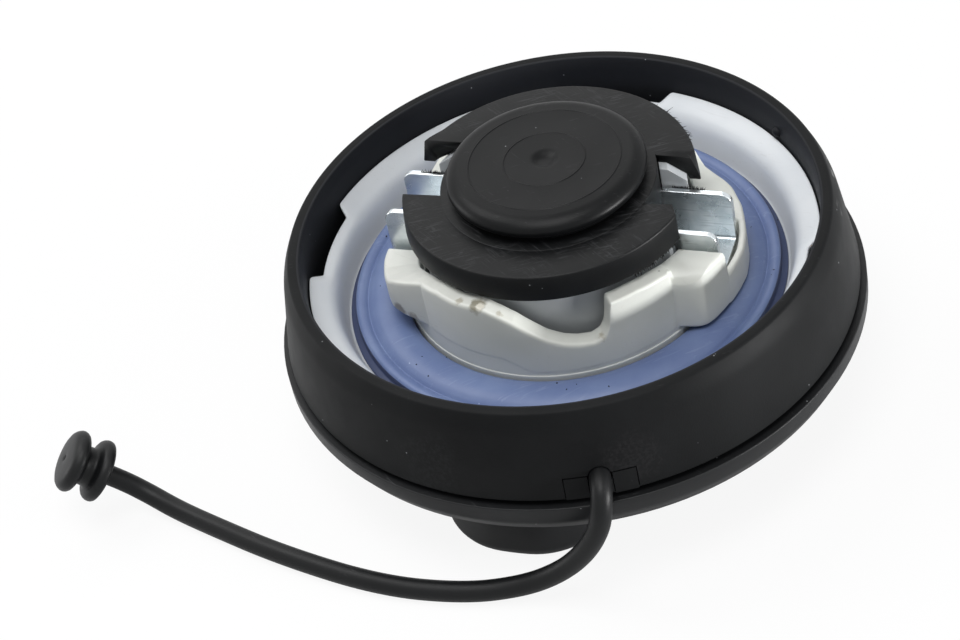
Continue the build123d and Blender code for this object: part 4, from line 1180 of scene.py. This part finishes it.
# %% [markdown]
# ## The lock bar
# The lock bar is a channel folded from zinc-plated sheet. Shearing leaves a small rounded edge all
# round the sheet, and that edge catches the light. The model's shape is right, so a bevelled copy
# is enough, as with the cover.

# %% Lock bar
SHEET_EDGE = 0.14
lock_bar = softened("lock_bar", "lock_channel", SHEET_EDGE)
finish_piece(lock_bar, "lock", "plated_steel", plated_steel, "lock_bar")
print("lock bar:", len(lock_bar.data.polygons), "faces before its edges are rounded")

# %% [markdown]
# ## The three springs
# A light spring lifts the lock bar, one holds the pressure plate on its seat, and a tiny one holds
# the vacuum poppet shut. Each is a wire wound at an even pitch, a rule that a tree can follow: a
# spiral curve carries a round profile. When a joint moves, its spring is pressed towards its fixed end.

# %% Springs: the tree
spring_tree, size = node_group("coil_spring", {
    "Turns": "Float", "Coil radius": "Float", "Wire radius": "Float", "Height": "Float", "Place": "Vector"})
coil = add(spring_tree, "GeometryNodeCurveSpiral", {
    "Resolution": 40, "Rotations": size["Turns"], "Start Radius": size["Coil radius"],
    "End Radius": size["Coil radius"], "Height": size["Height"]})
placed = add(spring_tree, "GeometryNodeTransform", {
    "Geometry": coil.outputs[0], "Translation": size["Place"]})
wire = add(spring_tree, "GeometryNodeCurvePrimitiveCircle", {
    "Resolution": 14, "Radius": size["Wire radius"]})
wound = add(spring_tree, "GeometryNodeCurveToMesh", {
    "Curve": placed.outputs[0], "Profile Curve": wire.outputs[0], "Fill Caps": True})
end_group(spring_tree, size, wound.outputs[0])
print("one tree winds all springs:", spring_tree.name)

# node: turns, wire diameter, body, joint, travel in mm, which end stays
SPRINGS = {
    "lock_spring": (2.5, 1.1, "inner_unit", "lock_bar_press", 2.0, "low"),
    "pressure_spring": (3.0, 0.6, "inner_unit", "pressure_relief", 1.2, "low"),
    "vacuum_spring": (3.0, 0.35, "pressure_valve", "vacuum_relief", 0.8, "high"),
}
for node_name, (turns, wire_width, body, joint, travel, fixed) in SPRINGS.items():
    low, high = (Vector(corner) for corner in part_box(node_name))
    half_wire = wire_width / 2 * MM
    spring = grow(node_name.replace("spring", "coil"), spring_tree, {
        "Turns": turns, "Coil radius": (high.x - low.x) / 2 - half_wire, "Wire radius": half_wire,
        "Height": high.z - low.z - 2 * half_wire, "Place": (0, 0, low.z + half_wire),
        "Finish": spring_steel})
    spring.data.shade_smooth()
    finish_piece(spring, body, "spring_steel", spring_steel, node_name)
    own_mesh(spring)

# %% [markdown]
# ## Flash and burrs
# A mould that closes badly leaves a ragged skin of plastic along an edge, and a bar that rubs on
# plastic scrapes off small teeth of it. Each could be sculpted. Both are many small spikes along a
# line, so one Geometry Nodes tree sets cones of random length and lean along a polyline.

# %% Burrs: the tree
burr_tree, size = node_group("burrs_along_an_edge", {
    "Count": "Int", "Width": "Float", "Shortest": "Float", "Longest": "Float", "Lean": "Float",
    "Point": "Vector", "Seed": "Int"})
line = add(burr_tree, "GeometryNodeMeshToCurve", {"Mesh": size["Geometry"]})
spots = add(burr_tree, "GeometryNodeCurveToPoints", {"Curve": line.outputs[0], "Count": size["Count"]})
cone = add(burr_tree, "GeometryNodeMeshCone", {
    "Vertices": 5, "Radius Bottom": size["Width"], "Depth": 1.0 * MM})
low = add(burr_tree, "ShaderNodeVectorMath", {0: size["Point"], 1: size["Lean"]}, operation="SUBTRACT")
high = add(burr_tree, "ShaderNodeVectorMath", {0: size["Point"], 1: size["Lean"]}, operation="ADD")
turn = add(burr_tree, "FunctionNodeRandomValue", {
    0: low.outputs[0], 1: high.outputs[0], "Seed": size["Seed"]}, data_type="FLOAT_VECTOR")
long = add(burr_tree, "FunctionNodeRandomValue", {
    2: size["Shortest"], 3: size["Longest"], "Seed": size["Seed"]}, data_type="FLOAT")
stretch = add(burr_tree, "ShaderNodeCombineXYZ", {0: 1.0, 1: 1.0, 2: long.outputs[1]})
spikes = add(burr_tree, "GeometryNodeInstanceOnPoints", {
    "Points": spots.outputs[0], "Instance": cone.outputs[0], "Rotation": turn.outputs[0],
    "Scale": stretch.outputs[0]})
end_group(burr_tree, size, spikes.outputs[0])
print("one tree sets all burrs:", burr_tree.name)

# %% Burrs: the edges they follow
RIM_STEPS = 12


def edge_line(name, points):
    """A polyline mesh through points in millimetres, for the burrs to follow."""
    mesh = bpy.data.meshes.new(name)
    places = [[v * MM for v in point] for point in points]
    mesh.from_pydata(places, [(i, i + 1) for i in range(len(points) - 1)], [])
    return mesh


def rim_line(name, radius, start, stop, height):
    """The same along an arc."""
    turns = [math.radians(start + (stop - start) * i / RIM_STEPS) for i in range(RIM_STEPS + 1)]
    return edge_line(name, [(radius * math.cos(a), radius * math.sin(a), height) for a in turns])


FLASH_LINE = rim_line("flash_line", 20.75, -41, -19, 34.15)
HAIR_LINE = rim_line("hair_line", 20.65, 31, 58, 37.7)
LEFT_LINE = edge_line("left_line", [(-21.2, 4.25, 33.65), (-17.6, 4.25, 33.65)])
RIGHT_LINE = edge_line("right_line", [(16.2, 4.7, 33.65), (20.8, 4.7, 33.65)])
print("edges that carry burrs:", ", ".join(m.name for m in (FLASH_LINE, HAIR_LINE, LEFT_LINE, RIGHT_LINE)))

# %% Burrs: flash and scrapings
# name: line, body, count, width, shortest and longest in mm, lean and direction in radians, seed
BURRS = {
    "flash_near_moon": (FLASH_LINE, "inner_unit", 60, 0.16, 0.3, 0.95, 0.5, (3.0, 0, 0), 3),
    "flash_far_moon": (HAIR_LINE, "inner_unit", 34, 0.07, 0.3, 1.5, 0.9, (1.2, 0.9, 0.7), 5),
    "scrapings_left": (LEFT_LINE, "lock", 26, 0.1, 0.3, 0.7, 0.5, (-0.9, 0.2, 0), 7),
    "scrapings_right": (RIGHT_LINE, "lock", 30, 0.09, 0.3, 0.65, 0.5, (-1.0, 0.2, 0), 9),
}
for name, (line, body, count, width, shortest, longest, lean, point, seed) in BURRS.items():
    burrs = grow(name, burr_tree, {
        "Count": count, "Width": width * MM, "Shortest": shortest, "Longest": longest, "Lean": lean,
        "Point": point, "Seed": seed, "Finish": head_plastic}, line)
    finish_piece(burrs, body, "head_plastic", head_plastic)

# %% [markdown]
# ## Crumbs
# Dark crumbs of old rubber lie on the seal. They are scattered over the seal's own mesh, only where
# it faces up, with a fixed seed, so that they land in the same places at each run. Painted specks
# would be lighter to make, but a crumb also casts a small shadow.

# %% Crumbs on the seal
CRUMBS_PER_M2 = 30000.0
CRUMB_SMALLEST, CRUMB_SPREAD = 0.05, 0.16
CRUMB_FACING = 0.8
CRUMB_TUMBLE = 6.0
CRUMB_SEED = 11

crumb_tree, size = node_group("crumbs_on_a_surface", {
    "Density": "Float", "Smallest": "Float", "Spread": "Float", "Seed": "Int"})
normal = add(crumb_tree, "GeometryNodeInputNormal").outputs[0]
facing = add(crumb_tree, "ShaderNodeSeparateXYZ", {0: normal})
upward = add(crumb_tree, "FunctionNodeCompare", {0: facing.outputs[2], 1: CRUMB_FACING},
             operation="GREATER_THAN")
dots = add(crumb_tree, "GeometryNodeDistributePointsOnFaces", {
    "Mesh": size["Geometry"], "Selection": upward.outputs[0], "Density": size["Density"],
    "Seed": size["Seed"]})
grit = add(crumb_tree, "GeometryNodeMeshIcoSphere", {"Radius": 1.0, "Subdivisions": 1})
grain = add(crumb_tree, "FunctionNodeRandomValue", {0: (0, 0, 0), 1: (1, 1, 1), "Seed": size["Seed"]},
            data_type="FLOAT_VECTOR")
small = add(crumb_tree, "ShaderNodeVectorMath", {
    0: grain.outputs[0], 1: size["Spread"], 2: size["Smallest"]}, operation="MULTIPLY_ADD")
tumbled = add(crumb_tree, "ShaderNodeVectorMath", {0: grain.outputs[0], "Scale": CRUMB_TUMBLE},
              operation="SCALE")
crumbs = add(crumb_tree, "GeometryNodeInstanceOnPoints", {
    "Points": dots.outputs[0], "Instance": grit.outputs[0], "Rotation": tumbled.outputs[0],
    "Scale": small.outputs[0]})
end_group(crumb_tree, size, crumbs.outputs[0])
seal_crumbs = grow("seal_crumbs", crumb_tree, {
    "Density": CRUMBS_PER_M2, "Smallest": CRUMB_SMALLEST * MM, "Spread": CRUMB_SPREAD * MM,
    "Seed": CRUMB_SEED, "Finish": skirt_rubber}, seal.data.copy())
finish_piece(seal_crumbs, "inner_unit", "skirt_rubber", skirt_rubber)

# %% [markdown]
# ## The plug
# The plug on the tether's end clips into the car's body and keeps the cap from getting lost. It is a
# soft mushroom: a round flange, a waist and a head with a dimple. Stacked cylinders would show their
# joins, so it is turned as one outline, like the dome. Then its mesh, not its object, is moved to
# the cord's end and tilted along the cord, because a finished piece stays at the origin.

# %% Plug
plug = knob("tether_end_plug", [
    (0, 0), (2.4, 0, 0.6), (4.5, 0.1, 0.8), (4.75, 1.0, 0.9), (4.3, 1.9, 0.8), (2.9, 2.2, 0.6),
    (2.9, 3.9, 0.6), (4.3, 4.0, 0.7), (4.8, 5.0, 0.9), (4.0, 6.2, 1.0), (1.6, 6.4, 0.8), (0.5, 6.35, 0.2),
    (0, 5.9),
], 0.5, 72)
last, before_last = Vector(TETHER_POINTS[-1]), Vector(TETHER_POINTS[-2])
turn = (last - before_last).to_track_quat("Z", "Y").to_matrix().to_4x4()
plug.data.transform(Matrix.Translation(last * MM) @ turn)
finish_piece(plug, "cover", "tether_plastic", tether_plastic, "tether_plug")
print("plug:", len(plug.data.polygons), "faces")

# %% [markdown]
# ## The tether as a cord
# Last the cord gets its finish, joins the cover's body and takes the place of the model's tether.

# %% Tether: finish
finish_piece(tether, "cover", "tether_plastic", tether_plastic, "tether")
